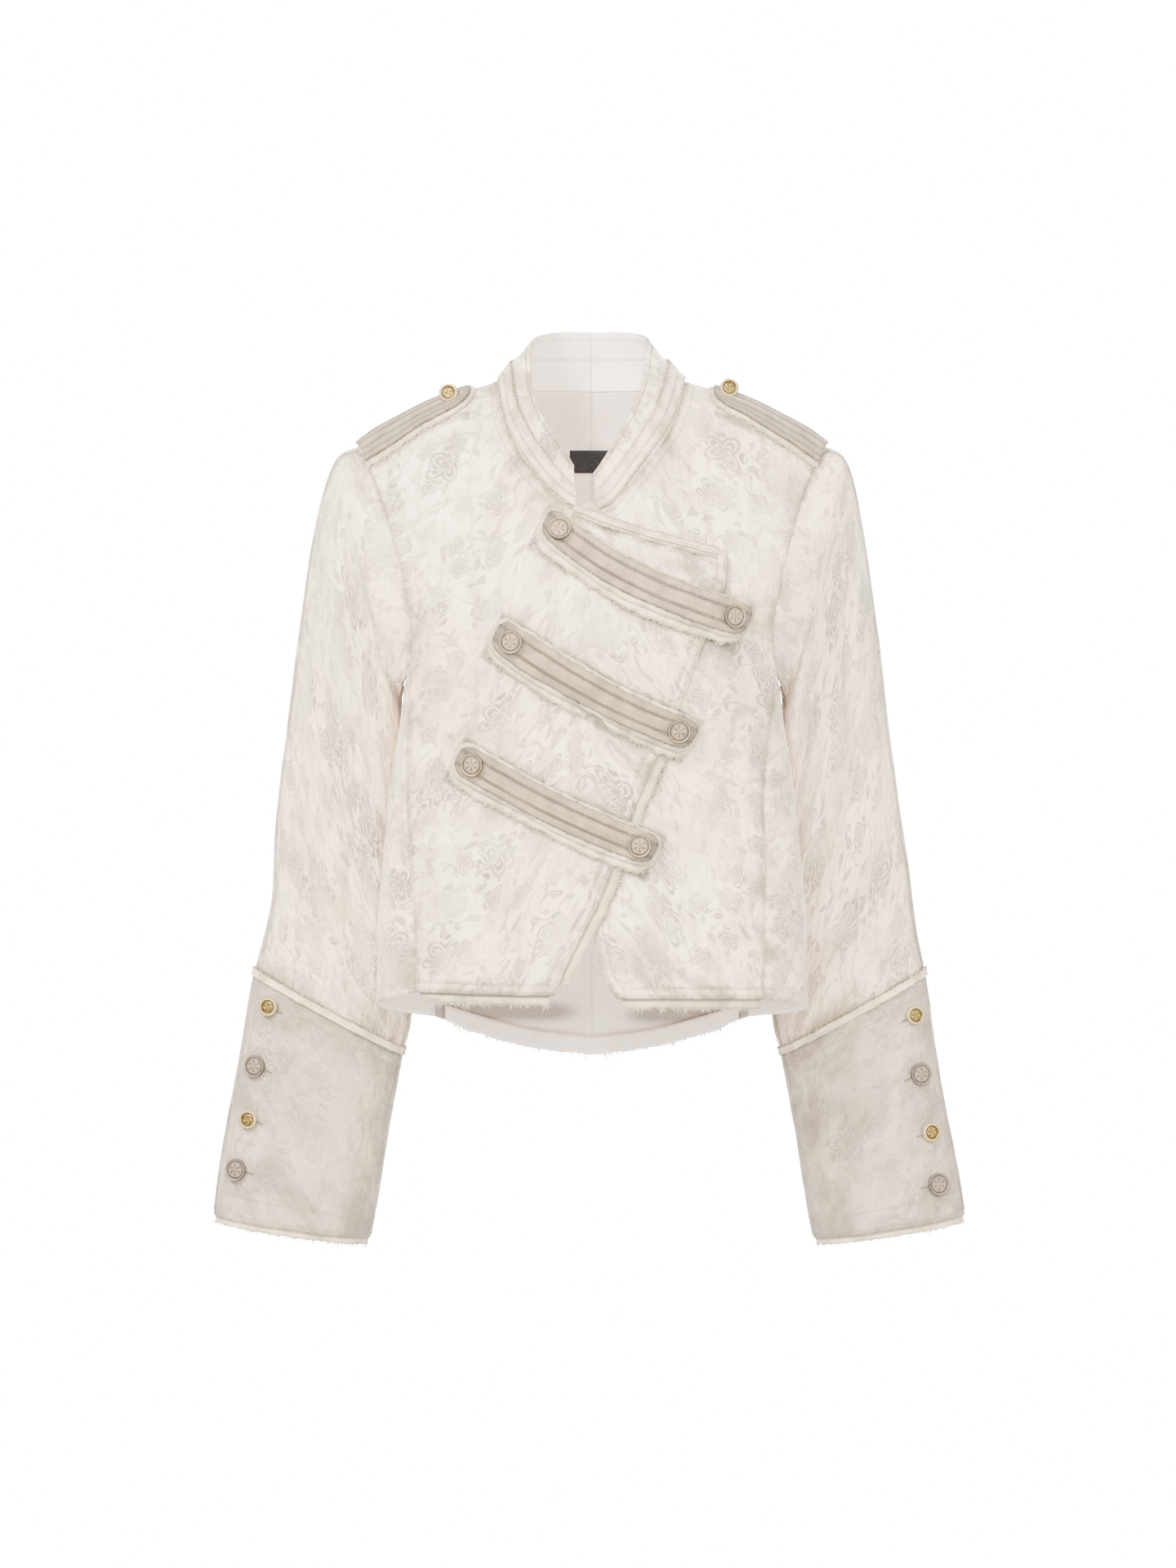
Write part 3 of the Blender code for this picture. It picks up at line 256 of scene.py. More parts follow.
# Creases by place: a soft trough (negative) or ridge between two points of the flat view, in mm
CREASES = dict(
    columns=("x0", "z0", "x1", "z1", "wide", "high"),
    front=(
        (-81, -80, -82, -200, 8, -2.0),
        (-70, -84, -74, -180, 9, 1.4),
        (-160, -150, -118, -190, 8, -1.3),
        (-150, -185, -112, -250, 9, 1.2),
        (-139, -200, -126, -300, 7, -1.2),
        (-44, -150, -56, -205, 7, -1.2),
        (-30, -160, -4, -200, 6, 1.1),
        (20, -190, 60, -214, 7, -1.3),
        (-30, -250, 30, -296, 8, 1.5),
        (-52, -262, 4, -304, 6, -1.4),
        (-112, -300, -122, -400, 9, 1.3),
        (-126, -320, -106, -420, 7, -1.5),
        (-86, -352, -50, -390, 7, -1.4),
        (-60, -360, -10, -398, 8, 1.3),
        (-100, -420, -60, -480, 9, -1.4),
        (-40, -420, -30, -488, 8, 1.4),
        (-124, -440, -128, -495, 8, 1.5),
        (-90, -440, -96, -495, 8, -1.0),
        (6, -119, 34, -136, 5, -1.6),
        (22, -122, 44, -148, 5, 1.6),
        (44, -131, 62, -160, 5, -1.6),
        (60, -135, 74, -160, 4, 1.3),
        (82, -140, 88, -166, 4, -1.3),
        (84, -88, 97, -131, 2, -1.6),
        (58, -30, 80, -92, 10, -1.4),
        (112, -70, 98, -130, 9, 1.2),
        (140, -110, 118, -170, 8, -1.5),
        (146, -190, 118, -214, 7, 1.3),
        (126, -225, 120, -330, 9, -1.6),
        (100, -240, 96, -340, 10, 1.5),
        (76, -300, 70, -400, 9, -1.2),
        (112, -350, 116, -450, 8, 1.4),
        (60, -400, 50, -490, 9, -1.4),
        (94, -420, 90, -498, 8, 1.3),
        (30, -430, 34, -492, 7, 1.2),
        (126, -430, 128, -498, 7, -1.4),
    ),
    side=(
        (0, -262, 2, -400, 9, -1.8),
        (-26, -280, -20, -470, 8, 1.6),
        (22, -270, 30, -440, 9, 1.5),
        (-8, -400, -4, -500, 8, 1.4),
        (40, -330, 36, -500, 8, -1.5),
        (-40, -380, -36, -495, 7, -1.3),
    ),
    back=(
        (-40, -60, -120, -140, 10, -1.8),
        (44, -64, 118, -148, 10, -1.7),
        (-70, -120, -96, -260, 11, 1.8),
        (76, -110, 92, -270, 11, 1.7),
        (-24, -150, -34, -330, 9, -1.6),
        (30, -170, 26, -350, 9, -1.5),
        (-92, -260, -70, -420, 9, -1.7),
        (90, -280, 78, -440, 9, -1.6),
        (-50, -330, -58, -520, 10, 1.8),
        (54, -340, 62, -515, 10, 1.7),
        (-10, -400, -16, -545, 8, 1.3),
        (14, -380, 20, -545, 8, -1.3),
        (-108, -400, -104, -520, 8, 1.3),
        (110, -390, 106, -520, 8, -1.4),
    ),
    sleeve_right_front=(
        (-202, -140, -172, -245, 10, -3.6),
        (-188, -130, -166, -215, 9, 2.2),
        (-216, -96, -208, -200, 9, 1.8),
        (-232, -150, -238, -290, 8, -2.0),
        (-222, -190, -232, -330, 9, 1.8),
        (-186, -240, -214, -300, 9, 2.4),
        (-178, -262, -216, -322, 8, -2.6),
        (-188, -310, -232, -346, 8, 2.0),
        (-184, -336, -236, -376, 7, -2.2),
        (-252, -300, -254, -400, 7, 1.6),
        (-208, -360, -226, -450, 9, 1.8),
        (-196, -380, -206, -480, 8, -2.0),
        (-246, -390, -240, -470, 8, -1.6),
        (-182, -430, -186, -520, 8, 2.2),
        (-226, -440, -206, -500, 7, 1.4),
    ),
    sleeve_left_front=(
        (176, -230, 190, -312, 9, -3.4),
        (170, -150, 188, -240, 9, 2.0),
        (196, -130, 184, -210, 9, -2.2),
        (216, -120, 224, -250, 8, 1.8),
        (208, -180, 220, -330, 8, -2.2),
        (230, -230, 236, -350, 8, 1.6),
        (184, -270, 214, -330, 8, 2.2),
        (186, -322, 232, -372, 8, -2.4),
        (190, -352, 240, -400, 8, 2.0),
        (212, -380, 222, -470, 8, -2.0),
        (196, -410, 200, -500, 8, 2.0),
        (244, -400, 246, -470, 8, 1.6),
        (178, -450, 182, -524, 8, -1.8),
    ),
    sleeve_right_back=(
        (-196, -110, -214, -240, 10, -2.4),
        (-220, -140, -232, -280, 9, 2.0),
        (-184, -250, -236, -300, 9, -2.6),
        (-182, -290, -240, -342, 9, 2.2),
        (-190, -340, -244, -380, 8, -2.2),
        (-206, -380, -220, -490, 9, 1.8),
        (-240, -400, -246, -470, 8, -1.6),
    ),
    sleeve_left_back=(
        (194, -116, 210, -250, 10, -2.4),
        (218, -150, 228, -290, 9, 2.0),
        (182, -260, 232, -306, 9, -2.5),
        (184, -300, 238, -350, 9, 2.2),
        (192, -350, 242, -388, 8, -2.2),
        (204, -390, 216, -490, 9, 1.8),
    ),
    cuff_right_front=(
        (-262, -560, -238, -690, 10, 1.2),
        (-228, -545, -214, -650, 9, -1.3),
        (-200, -570, -204, -690, 9, 1.1),
        (-250, -620, -276, -680, 8, -1.0),
    ),
    cuff_left_front=(
        (258, -560, 240, -690, 10, 1.2),
        (226, -550, 214, -660, 9, -1.3),
        (196, -575, 202, -690, 9, 1.1),
        (250, -630, 272, -684, 8, -1.0),
    ),
    cuff_right_back=(
        (-260, -540, -270, -670, 10, -1.4),
        (-220, -560, -226, -690, 9, 1.3),
    ),
    cuff_left_back=(
        (256, -540, 266, -670, 10, -1.4),
        (216, -560, 222, -690, 9, 1.3),
    ),
)


def column(table, name):
    """A named column of a table as an array."""
    place = table["columns"].index(name)
    return np.array([row[place] for row in table["rows"]], float)


def rows(table):
    """A table's rows, each as a dictionary by column."""
    return [dict(zip(table["columns"], row)) for row in table["rows"]]


def smooth(table, key, name, at):
    """The named column at values of the key column, by a smooth curve through the rows."""
    keys, values = column(table, key), column(table, name)
    if keys[0] > keys[-1]:
        keys, values = keys[::-1], values[::-1]
    at = np.clip(at, keys[0], keys[-1])
    slopes = np.diff(values) / np.diff(keys)
    tangents = np.concatenate([[slopes[0]], (slopes[:-1] + slopes[1:]) / 2, [slopes[-1]]])
    tangents[1:-1][slopes[:-1] * slopes[1:] <= 0] = 0
    i = np.clip(np.searchsorted(keys, at, side="right") - 1, 0, len(keys) - 2)
    wide = keys[i + 1] - keys[i]
    t = (at - keys[i]) / wide
    a = (2 * t**3 - 3 * t**2 + 1) * values[i] + (t**3 - 2 * t**2 + t) * wide * tangents[i]
    return a + (3 * t**2 - 2 * t**3) * values[i + 1] + (t**3 - t**2) * wide * tangents[i + 1]


def ease(low, high, at):
    """0 before low and 1 after high, smooth in between."""
    t = np.clip((at - low) / (high - low), 0, 1)
    return t * t * (3 - 2 * t)


def hill(at, middle, width):
    """1 at the middle, falling off smoothly to both sides."""
    return np.exp(-(((at - middle) / width) ** 2))


def units(vectors):
    return vectors / np.maximum(np.linalg.norm(vectors, axis=-1, keepdims=True), 1e-12)


def ridge(x):
    return smooth(RIDGE, "out", "height", np.abs(x))


def body(name, z):
    return smooth(BODY, "height", name, z)


def to_flat(x, z):
    t = (ridge(x) - z) / SHOULDER_DROP
    near = np.arccos(np.clip(1 - np.clip(t, 0, 1), 0, 1) ** (SHOULDER_POWER / 2))
    return np.where(t >= 1, SHOULDER_ARC * math.pi / 2 + (t - 1) * SHOULDER_DROP, SHOULDER_ARC * near)


def from_flat(x, q):
    angle = np.clip(q / SHOULDER_ARC, -math.pi / 2, math.pi / 2)
    near = ridge(x) - SHOULDER_DROP * (1 - np.cos(angle) ** (2 / SHOULDER_POWER))
    return near - np.maximum(q - SHOULDER_ARC * math.pi / 2, 0)


def bust(x, z):
    return BUST_RISE * np.exp(-((np.abs(x) - BUST_OUT) ** 2 + (z - BUST_HEIGHT) ** 2) / BUST_SPREAD**2)


def torso(x, q, back):
    """Points on the outside of the front or back at x and a distance q below the shoulder line."""
    x, q = np.broadcast_arrays(np.asarray(x, float), np.asarray(q, float))
    z = from_flat(x, q)
    turn = np.clip(q / SHOULDER_ARC, -math.pi / 2, math.pi / 2)
    rounding = np.sign(turn) * np.abs(np.sin(turn)) ** (2 / SHOULDER_POWER)
    power = BACK_POWER if back else FRONT_POWER
    share = np.clip(1 - np.clip(np.abs(x) / body("half_width", z), 0, 1) ** power, 0, None) ** (1 / power)
    side, far = body("side_y", z), body("back_y" if back else "front_y", z)
    y = (side + (far - side) * share) * rounding
    return np.stack([x, y if back else y - bust(x, z), z], axis=-1)


def torso_normal(x, q, back):
    step = 2e-4
    q = np.maximum(q, step)
    along = torso(x + step, q, back) - torso(x - step, q, back)
    down = torso(x, q + step, back) - torso(x, q - step * 0.9, back)
    normal = units(np.cross(down, along))
    return -normal if back else normal


def side_point(turn, z, hand):
    """turn -1 is the middle of the front, 0 the side and 1 the middle of the back."""
    turn, z = np.broadcast_arrays(np.asarray(turn, float), np.asarray(z, float))
    power = np.where(turn > 0, BACK_POWER, FRONT_POWER)
    angle = turn * math.pi / 2
    x = body("half_width", z) * np.cos(angle) ** (2 / power)
    side = body("side_y", z)
    far = np.where(turn > 0, body("back_y", z), body("front_y", z))
    y = side + (far - side) * np.abs(np.sin(angle)) ** (2 / power)
    y = y - np.where(turn > 0, 0, bust(x, z) * ease(0, 0.3, np.abs(turn)))
    return np.stack([hand * x, y, z], axis=-1)


def side_turn(x, z, back):
    share = np.clip(np.abs(x) / body("half_width", z), 0, 1)
    angle = np.arccos(share ** ((BACK_POWER if back else FRONT_POWER) / 2))
    return (angle if back else -angle) * 2 / math.pi


def side_normal(turn, z, hand):
    step = 1e-3
    around = side_point(turn + step, z, hand) - side_point(turn - step, z, hand)
    down = side_point(turn, z - step, hand) - side_point(turn, z + step, hand)
    return units(np.cross(down, around)) * hand


def armhole(share):
    """Armhole seam as (x out, z): share 0 is the shoulder, then the front, 0.5 under the arm."""
    share = np.asarray(share, float)
    z = (ARM_TOP + ARM_BOTTOM) / 2 + (ARM_TOP - ARM_BOTTOM) / 2 * np.cos(2 * math.pi * share)
    x = np.where(share <= 0.5, smooth(ARMHOLE, "height", "front", z), smooth(ARMHOLE, "height", "back", z))
    return x, z


def wander(points, size, seed):
    """A smooth uneven field over points, about -1 to 1, from a few slanted waves."""
    rng = np.random.default_rng(seed)
    total = np.zeros(len(points))
    for octave in range(3):
        for _ in range(5):
            way = rng.normal(size=points.shape[1])
            way /= np.linalg.norm(way)
            phase = points @ way * (2 * math.pi / size) * 1.9**octave + rng.uniform(0, 6.28)
            total += np.sin(phase) / 1.7**octave
    return total / 5.5


def creases(where):
    """The place's creases, each with its number in the whole table."""
    number = 0
    for place, group in CREASES.items():
        if place == "columns":
            continue
        for row in group:
            if place == where:
                yield number, dict(zip(CREASES["columns"], row))
            number += 1


def creased(where, points, seed, unevenness=0.45 * MM):
    """Height of the folds at points: the table's creases and a slight unevenness."""
    flat = points[:, [1, 2]] if where == "side" else points[:, [0, 2]]
    high = wander(points, 0.07, seed) * unevenness + wander(points, 0.024, seed + 7) * unevenness * 0.35
    for number, row in creases(where):
        a = np.array((row["x0"], row["z0"])) * MM
        b = np.array((row["x1"], row["z1"])) * MM
        way = b - a
        t = np.clip((flat - a) @ way / (way @ way), 0, 1)
        bend = np.sin(t * math.pi + number) * 0.05 * np.linalg.norm(way)
        across = np.array((-way[1], way[0])) / np.linalg.norm(way)
        gap = np.abs((flat - a - t[:, None] * way) @ across - bend * 0.6)
        past = np.linalg.norm(flat - a - t[:, None] * way, axis=1)
        gap = np.where((t <= 0) | (t >= 1), np.hypot(gap, past), gap)
        wide = row["wide"] * MM * (0.75 + 0.5 * t)
        taper = np.sin(np.clip(t, 0.0, 1.0) * math.pi) ** 0.6
        high += row["high"] * FOLD_DEPTH * MM * taper * np.exp(-((gap / wide) ** 2))
    return high


# Mesh making
def spans(faces):
    """The sides that only one face has, in the faces' direction."""
    sides = {side for face in faces for side in zip(face, face[1:] + face[:1])}
    return [(a, b) for a, b in sides if (b, a) not in sides]


def facing_out(points, normals, faces):
    total = 0.0
    for face in faces[:: max(1, len(faces) // 400)]:
        a, b, c = (points[i] for i in face[:3])
        total += float(np.dot(np.cross(b - a, c - a), normals[face[0]]))
    return faces if total > 0 else [list(reversed(face)) for face in faces]


def cloth_piece(name, outer, normals, faces, thick, looks, flat, wear=None, drop=ROLL_DROP, inside=None):
    """A closed thin shell: outer side, inner side and rim. looks is (outside, inside) materials."""
    outer, normals = np.array(outer, float), np.array(normals, float)
    faces = facing_out(outer, normals, faces)
    rim = spans(faces)
    edge = sorted({i for pair in rim for i in pair})
    rolled = outer.copy()
    rolled[edge] -= normals[edge] * drop
    inner = rolled - normals * thick
    inner[edge] = outer[edge] - normals[edge] * thick
    count = len(outer)
    solid = [list(face) for face in faces]
    solid += [[i + count for i in reversed(face)] for face in faces]
    solid += [[b, a, a + count, b + count] for a, b in rim]
    obj = made(name + "_cloth", np.concatenate([rolled, inner]), solid, looks)
    if len(looks) > 1:
        slots = [0] * len(faces) + [1] * len(faces) + [0] * len(rim)
        obj.data.polygons.foreach_set("material_index", slots)
    flat = np.concatenate([flat, flat])
    layer = obj.data.uv_layers.new(name="cloth")
    corner = np.empty(len(obj.data.loops), np.int32)
    obj.data.loops.foreach_get("vertex_index", corner)
    layer.data.foreach_set("uv", flat[corner].astype(np.float32).ravel())
    # Soiling and painted shadow values of the outer side; inside, if given, holds the inner side's
    wear = np.zeros(count) if wear is None else wear
    note_soil_and_shade(obj, np.concatenate([wear, wear if inside is None else inside]))
    return obj


def note_soil_and_shade(obj, values):
    """How soiled each point is: 0 to 1, and from 1 to 2 in shadow as well."""
    note = obj.data.attributes.new("wear", "FLOAT", "POINT")
    note.data.foreach_set("value", values.astype(np.float32))


def made(name, points, faces, looks):
    mesh = bpy.data.meshes.new(name)
    mesh.from_pydata([tuple(map(float, p)) for p in points], [], [tuple(map(int, f)) for f in faces])
    mesh.update()
    mesh.shade_smooth()
    for look in looks:
        mesh.materials.append(look)
    obj = bpy.data.objects.new(name, mesh)
    bpy.context.collection.objects.link(obj)
    return obj


def grid_faces(down, across, closed=False):
    """Four-sided faces over a grid of points, joined up all round if closed."""
    faces = []
    for i in range(down - 1):
        for j in range(across if closed else across - 1):
            here, beside = i * across + j, i * across + (j + 1) % across
            faces.append([here, beside, beside + across, here + across])
    return faces


def strip(down, across):
    """Shares down and across a grid of points, row by row."""
    return np.repeat(np.arange(down), across) / (down - 1), np.tile(np.arange(across), down) / (across - 1)


def along(points, spacing):
    """Even points along a line of points, both ends kept."""
    points = np.array(points, float)
    steps = np.linalg.norm(np.diff(points, axis=0), axis=1)
    reach = np.concatenate([[0], np.cumsum(steps)])
    count = max(2, int(round(reach[-1] / spacing)) + 1)
    at = np.linspace(0, reach[-1], count)
    return np.stack([np.interp(at, reach, points[:, k]) for k in range(points.shape[1])], axis=1)


def reach_of(points):
    return np.concatenate([[0], np.cumsum(np.linalg.norm(np.diff(points, axis=0), axis=1))])


def inside_of(outline, places, margin):
    """Which places lie inside the outline and at least the margin away from it."""
    a, b = outline, np.roll(outline, -1, axis=0)
    u, v = places[:, 0][:, None], places[:, 1][:, None]
    cross = (a[:, 1] > v) != (b[:, 1] > v)
    rise = np.where(np.abs(b[:, 1] - a[:, 1]) < 1e-12, 1e-12, b[:, 1] - a[:, 1])
    hits = cross & (u < a[:, 0] + (v - a[:, 1]) * (b[:, 0] - a[:, 0]) / rise)
    span = b - a
    t = ((u - a[:, 0]) * span[:, 0] + (v - a[:, 1]) * span[:, 1]) / np.maximum((span**2).sum(1), 1e-12)
    t = np.clip(t, 0, 1)
    far = np.hypot(u - a[:, 0] - span[:, 0] * t, v - a[:, 1] - span[:, 1] * t).min(axis=1)
    return (hits.sum(axis=1) % 2 == 1) & (far >= margin), far


def lattice_over(low, high, cell):
    across = np.arange(low[0] + cell * 0.5, high[0], cell)
    up = np.arange(low[1] + cell / 2, high[1], cell * 0.87)
    u, v = np.meshgrid(across, up)
    u[::2] += cell * 0.5
    return np.stack([u.ravel(), v.ravel()], axis=1)


def fill(outline, cell, wants_fine=None):
    """Triangles over an outline: a row of points just inside its edge and a lattice, finer where wanted."""
    outline = np.array(outline, float)
    ahead, behind = np.roll(outline, -1, axis=0), np.roll(outline, 1, axis=0)
    way = units(ahead - behind)
    area = np.sum(outline[:, 0] * ahead[:, 1] - ahead[:, 0] * outline[:, 1])
    inset = outline + np.stack([-way[:, 1], way[:, 0]], axis=1) * ROLL_IN * (1 if area > 0 else -1)
    inset = inset[inside_of(outline, inset, ROLL_IN * 0.8)[0]]
    low, high = outline.min(axis=0), outline.max(axis=0)
    lattice = lattice_over(low, high, cell)
    if wants_fine is not None:
        fine = lattice_over(low, high, cell * 0.4)
        lattice = np.concatenate([lattice[~wants_fine(lattice)], fine[wants_fine(fine)]])
    margin = ROLL_IN + cell * 0.5
    keep = np.concatenate([inside_of(outline, part, margin)[0] for part in np.array_split(lattice, 8)])
    every = np.concatenate([outline, inset, lattice[keep]])
    result = delaunay_2d_cdt([Vector(p) for p in every], [], [list(range(len(outline)))], 1, 1e-7)
    return np.array([tuple(p) for p in result[0]]), [list(f) for f in result[2]]


# Seam lines, as the solids have them
def neck_out(name, share):
    start = 0.0 if name == "back" else NECK_START[name]
    return start + (NECK_SHOULDER - start) * np.sin(np.asarray(share) * math.pi / 2)


def princess_line(hand, back, steps=90):
    name = "back" if back else ("left" if hand > 0 else "right")
    start = armhole(BACK_NOTCH if back else FRONT_NOTCH)
    bottom = float(column(PRINCESS, name)[-2])
    end = (bottom, float(smooth(HEM, "out", name, bottom)))
    share = np.linspace(0, 1, steps + 1)
    z = start[1] + (end[1] - start[1]) * share
    x = smooth(PRINCESS, "height", name, z)
    x = x + (start[0] - smooth(PRINCESS, "height", name, start[1])) * (1 - share)
    return np.stack([hand * x, z], axis=1)


def neck_line(hand, back):
    name = "back" if back else ("left" if hand > 0 else "right")
    out = neck_out(name, np.linspace(1, 0, 40))
    return np.stack([hand * out, smooth(NECK, "out", name, out)], axis=1)


def shoulder_line(hand):
    out = np.linspace(float(armhole(0)[0]), NECK_SHOULDER, 30)
    return np.stack([hand * out, ridge(out)], axis=1)


def hem_line(hand, name, out, into):
    x = np.linspace(out, into, 40)
    return np.stack([hand * x, smooth(HEM, "out", name, np.abs(x))], axis=1)


def armhole_line(hand, first, last):
    x, z = armhole(np.linspace(first, last, 60))
    return np.stack([hand * x, z], axis=1)


def edge_line(table, hem):
    line = np.stack([column(table, "x"), column(table, "height")], axis=1)
    line[-1, 1] = float(smooth(HEM, "out", hem, abs(line[-1, 0])))
    return line


def edge_x(z):
    keys = -column(RIGHT_EDGE, "height")[5:]
    return np.interp(-np.asarray(z), keys, column(RIGHT_EDGE, "x")[5:])


def overlap_lift(x):
    return OVERLAP_LIFT * ease(OVERLAP_FADE_FROM, OVERLAP_FADE_TO, x)


def top_lift(x, z):
    return overlap_lift(x) * (1 - ease(EDGE_PLY_SHOWS + 6 * MM, EDGE_PLY_SHOWS + 26 * MM, x - edge_x(z)))


def near_line(points, line):
    """Distance of flat points from a line of flat points."""
    a, span = line[:-1], np.diff(line, axis=0)
    t = ((points[:, None, :] - a) * span).sum(-1) / np.maximum((span**2).sum(-1), 1e-12)
    t = np.clip(t, 0, 1)
    return np.linalg.norm(points[:, None, :] - a - span * t[..., None], axis=-1).min(axis=1)


# Shader values
class Wire:
    """A shader value that can be added, multiplied and so on like a number."""

    def __init__(self, tree, socket=None):
        self.tree, self.socket = tree, socket

    def make(self, kind, settings=None, inputs=None, out=0):
        node = self.tree.nodes.new(kind)
        for key, value in (settings or {}).items():
            setattr(node, key, value)
        for key, value in (inputs or {}).items():
            if isinstance(value, Wire):
                self.tree.links.new(value.socket, node.inputs[key])
            else:
                node.inputs[key].default_value = value
        return Wire(self.tree, node.outputs[out])

    def sum_of(self, operation, *values):
        return self.make("ShaderNodeMath", {"operation": operation}, dict(enumerate(values)))

    def __add__(self, other):
        return self.sum_of("ADD", self, other)

    def __sub__(self, other):
        return self.sum_of("SUBTRACT", self, other)

    def __mul__(self, other):
        return self.sum_of("MULTIPLY", self, other)

    def __truediv__(self, other):
        return self.sum_of("DIVIDE", self, other)

    def __rsub__(self, other):
        return self.sum_of("SUBTRACT", other, self)

    __radd__, __rmul__ = __add__, __mul__

    def between(self, low, high):
        """0 below low, 1 above high and smooth in between; the other way round if high is the lower."""
        inputs = {"Value": self, "From Min": low, "From Max": high}
        return self.make("ShaderNodeMapRange", {"interpolation_type": "SMOOTHSTEP"}, inputs)

    def larger(self, other):
        return self.sum_of("MAXIMUM", self, other)

    def smaller(self, other):
        return self.sum_of("MINIMUM", self, other)

    def part(self, axis):
        return self.make("ShaderNodeSeparateXYZ", None, {0: self}, "XYZ".index(axis))

    def scaled(self, by):
        return self.make("ShaderNodeVectorMath", {"operation": "MULTIPLY"}, {0: self, 1: by})

    def noise(self, scale, detail=2.0, rough=0.5, warp=0.0):
        inputs = {"Vector": self, "Scale": scale, "Detail": detail, "Roughness": rough, "Distortion": warp}
        return self.make("ShaderNodeTexNoise", None, inputs)


# Surface colours that show as the photo's tones under the lamps below, as amounts of red, green and blue
TONES = dict(
    cream=(0.902, 0.681, 0.435),
    lilac=(0.940, 0.695, 0.545),
    khaki=(0.187, 0.151, 0.078),
    shadow=(0.070, 0.055, 0.034),
    cuff_pale=(0.430, 0.322, 0.210),
    cuff_satin=(0.505, 0.375, 0.270),
    cuff_worn_and_shaded=(0.165, 0.124, 0.084),
    petal=(0.215, 0.162, 0.118),
    streak=(0.312, 0.239, 0.137),
    lining=(0.985, 0.830, 0.720),
    lining_shade=(0.860, 0.690, 0.570),
    ply=(0.860, 0.665, 0.420),
    ply_shade=(0.200, 0.160, 0.095),
    braid_light=(0.400, 0.285, 0.150),
    braid_mid=(0.240, 0.172, 0.094),
    braid_dark=(0.063, 0.048, 0.028),
    braid_pale=(0.480, 0.342, 0.190),
    braid_hole=(0.025, 0.020, 0.014),
    braid_edge=(0.051, 0.040, 0.025),
    thread=(0.300, 0.232, 0.130),
    thread_shade=(0.150, 0.120, 0.070),
    fray=(0.700, 0.530, 0.340),
    fray_shade=(0.280, 0.220, 0.130),
    dark_thread=(0.068, 0.052, 0.033),
    dark_thread_shade=(0.029, 0.023, 0.015),
    label=(0.0050, 0.0049, 0.0056),
    label_shade=(0.0030, 0.0030, 0.0033),
    champagne=(0.330, 0.225, 0.115),
    champagne_dirt_and_shade=(0.022, 0.015, 0.008),
    gold=(0.250, 0.160, 0.040),
    gold_dirt=(0.012, 0.008, 0.003),
    pewter=(0.240, 0.168, 0.104),
    pewter_dirt_and_shade=(0.020, 0.014, 0.009),
    ring=(0.420, 0.290, 0.125),
    ring_dirt_and_shade=(0.160, 0.110, 0.045),
    floor=(0.800, 0.800, 0.800),
)


def tone(name):
    return (*TONES[name], 1.0)


def mix(share, first, second):
    settings = {"data_type": "RGBA"}
    return share.make("ShaderNodeMix", settings, {0: share, 6: first, 7: second}, 2)


def new_look(name, rough, sheen=0.0, metal=0.0):
    look = bpy.data.materials.new(name)
    look.use_nodes = True
    tree = look.node_tree
    shader = tree.nodes["Principled BSDF"]
    shader.inputs["Roughness"].default_value = rough
    shader.inputs["Metallic"].default_value = metal
    shader.inputs["Sheen Weight"].default_value = sheen
    shader.inputs["Sheen Roughness"].default_value = 0.5
    return look, Wire(tree), shader


def join(value, shader, name):
    value.tree.links.new(value.socket, shader.inputs[name])


def raised(height, shader, far, strength=1.0, below=None):
    inputs = {"Height": height, "Distance": far, "Strength": strength}
    if below is not None:
        inputs["Normal"] = below
    bump = height.make("ShaderNodeBump", None, inputs)
    join(bump, shader, "Normal")
    return bump


def on_cloth(start):
    """Places on the piece's own cloth, in millimetres."""
    flat = start.make("ShaderNodeUVMap", {"uv_map": "cloth"})
    return flat.scaled((1000.0, 1000.0, 1000.0))


def soil_and_shade_of(start):
    """The wear noted on the points: 0 clean, 1 soiled, 2 soiled and in shadow."""
    return start.make("ShaderNodeAttribute", {"attribute_name": "wear"}, None, 2)


def scattered(place, size, shift, randomness):
    """Cells scattered over the cloth: each point's place in its cell, and the cell's own random numbers."""
    moved = place.make("ShaderNodeVectorMath", {"operation": "ADD"}, {0: place, 1: shift})
    settings = {"voronoi_dimensions": "2D", "feature": "F1"}
    inputs = {"Vector": moved, "Scale": 1 / size, "Randomness": randomness}
    centre = moved.make("ShaderNodeTexVoronoi", settings, inputs, 2)
    chance = moved.make("ShaderNodeTexVoronoi", settings, inputs, 1)
    away = moved.make("ShaderNodeVectorMath", {"operation": "SUBTRACT"}, {0: moved, 1: centre})
    return away.scaled((1 / size, 1 / size, 0.0)), chance


def blossoms(place, size, petals, shift, fill_share):
    """Round flowers with petals at scattered places: 1 on a petal, 0 off it, and the rings inside it."""
    away, chance = scattered(place, size, (shift, shift * 0.7, 0.0), 0.75)
    chance = chance.part("X")
    radius = away.make("ShaderNodeVectorMath", {"operation": "LENGTH"}, {0: away}, 1)
    turn = away.part("Y").sum_of("ARCTAN2", away.part("Y"), away.part("X"))
    wave = (turn * (petals / 2) + chance * 6.3).sum_of("COSINE", turn * (petals / 2) + chance * 6.3)
    reach = 0.26 + 0.13 * wave.sum_of("ABSOLUTE", wave)
    reach = reach * (0.75 + 0.4 * chance)
    kept = chance.between(1 - fill_share, 1.03 - fill_share)
    petal = radius.sum_of("SUBTRACT", reach, radius).between(0.0, 0.03) * kept
    fan = radius * 40.0 + wave * 5.0
    rings = fan.sum_of("SINE", fan).between(-0.3, 0.7)
    return petal, petal * rings


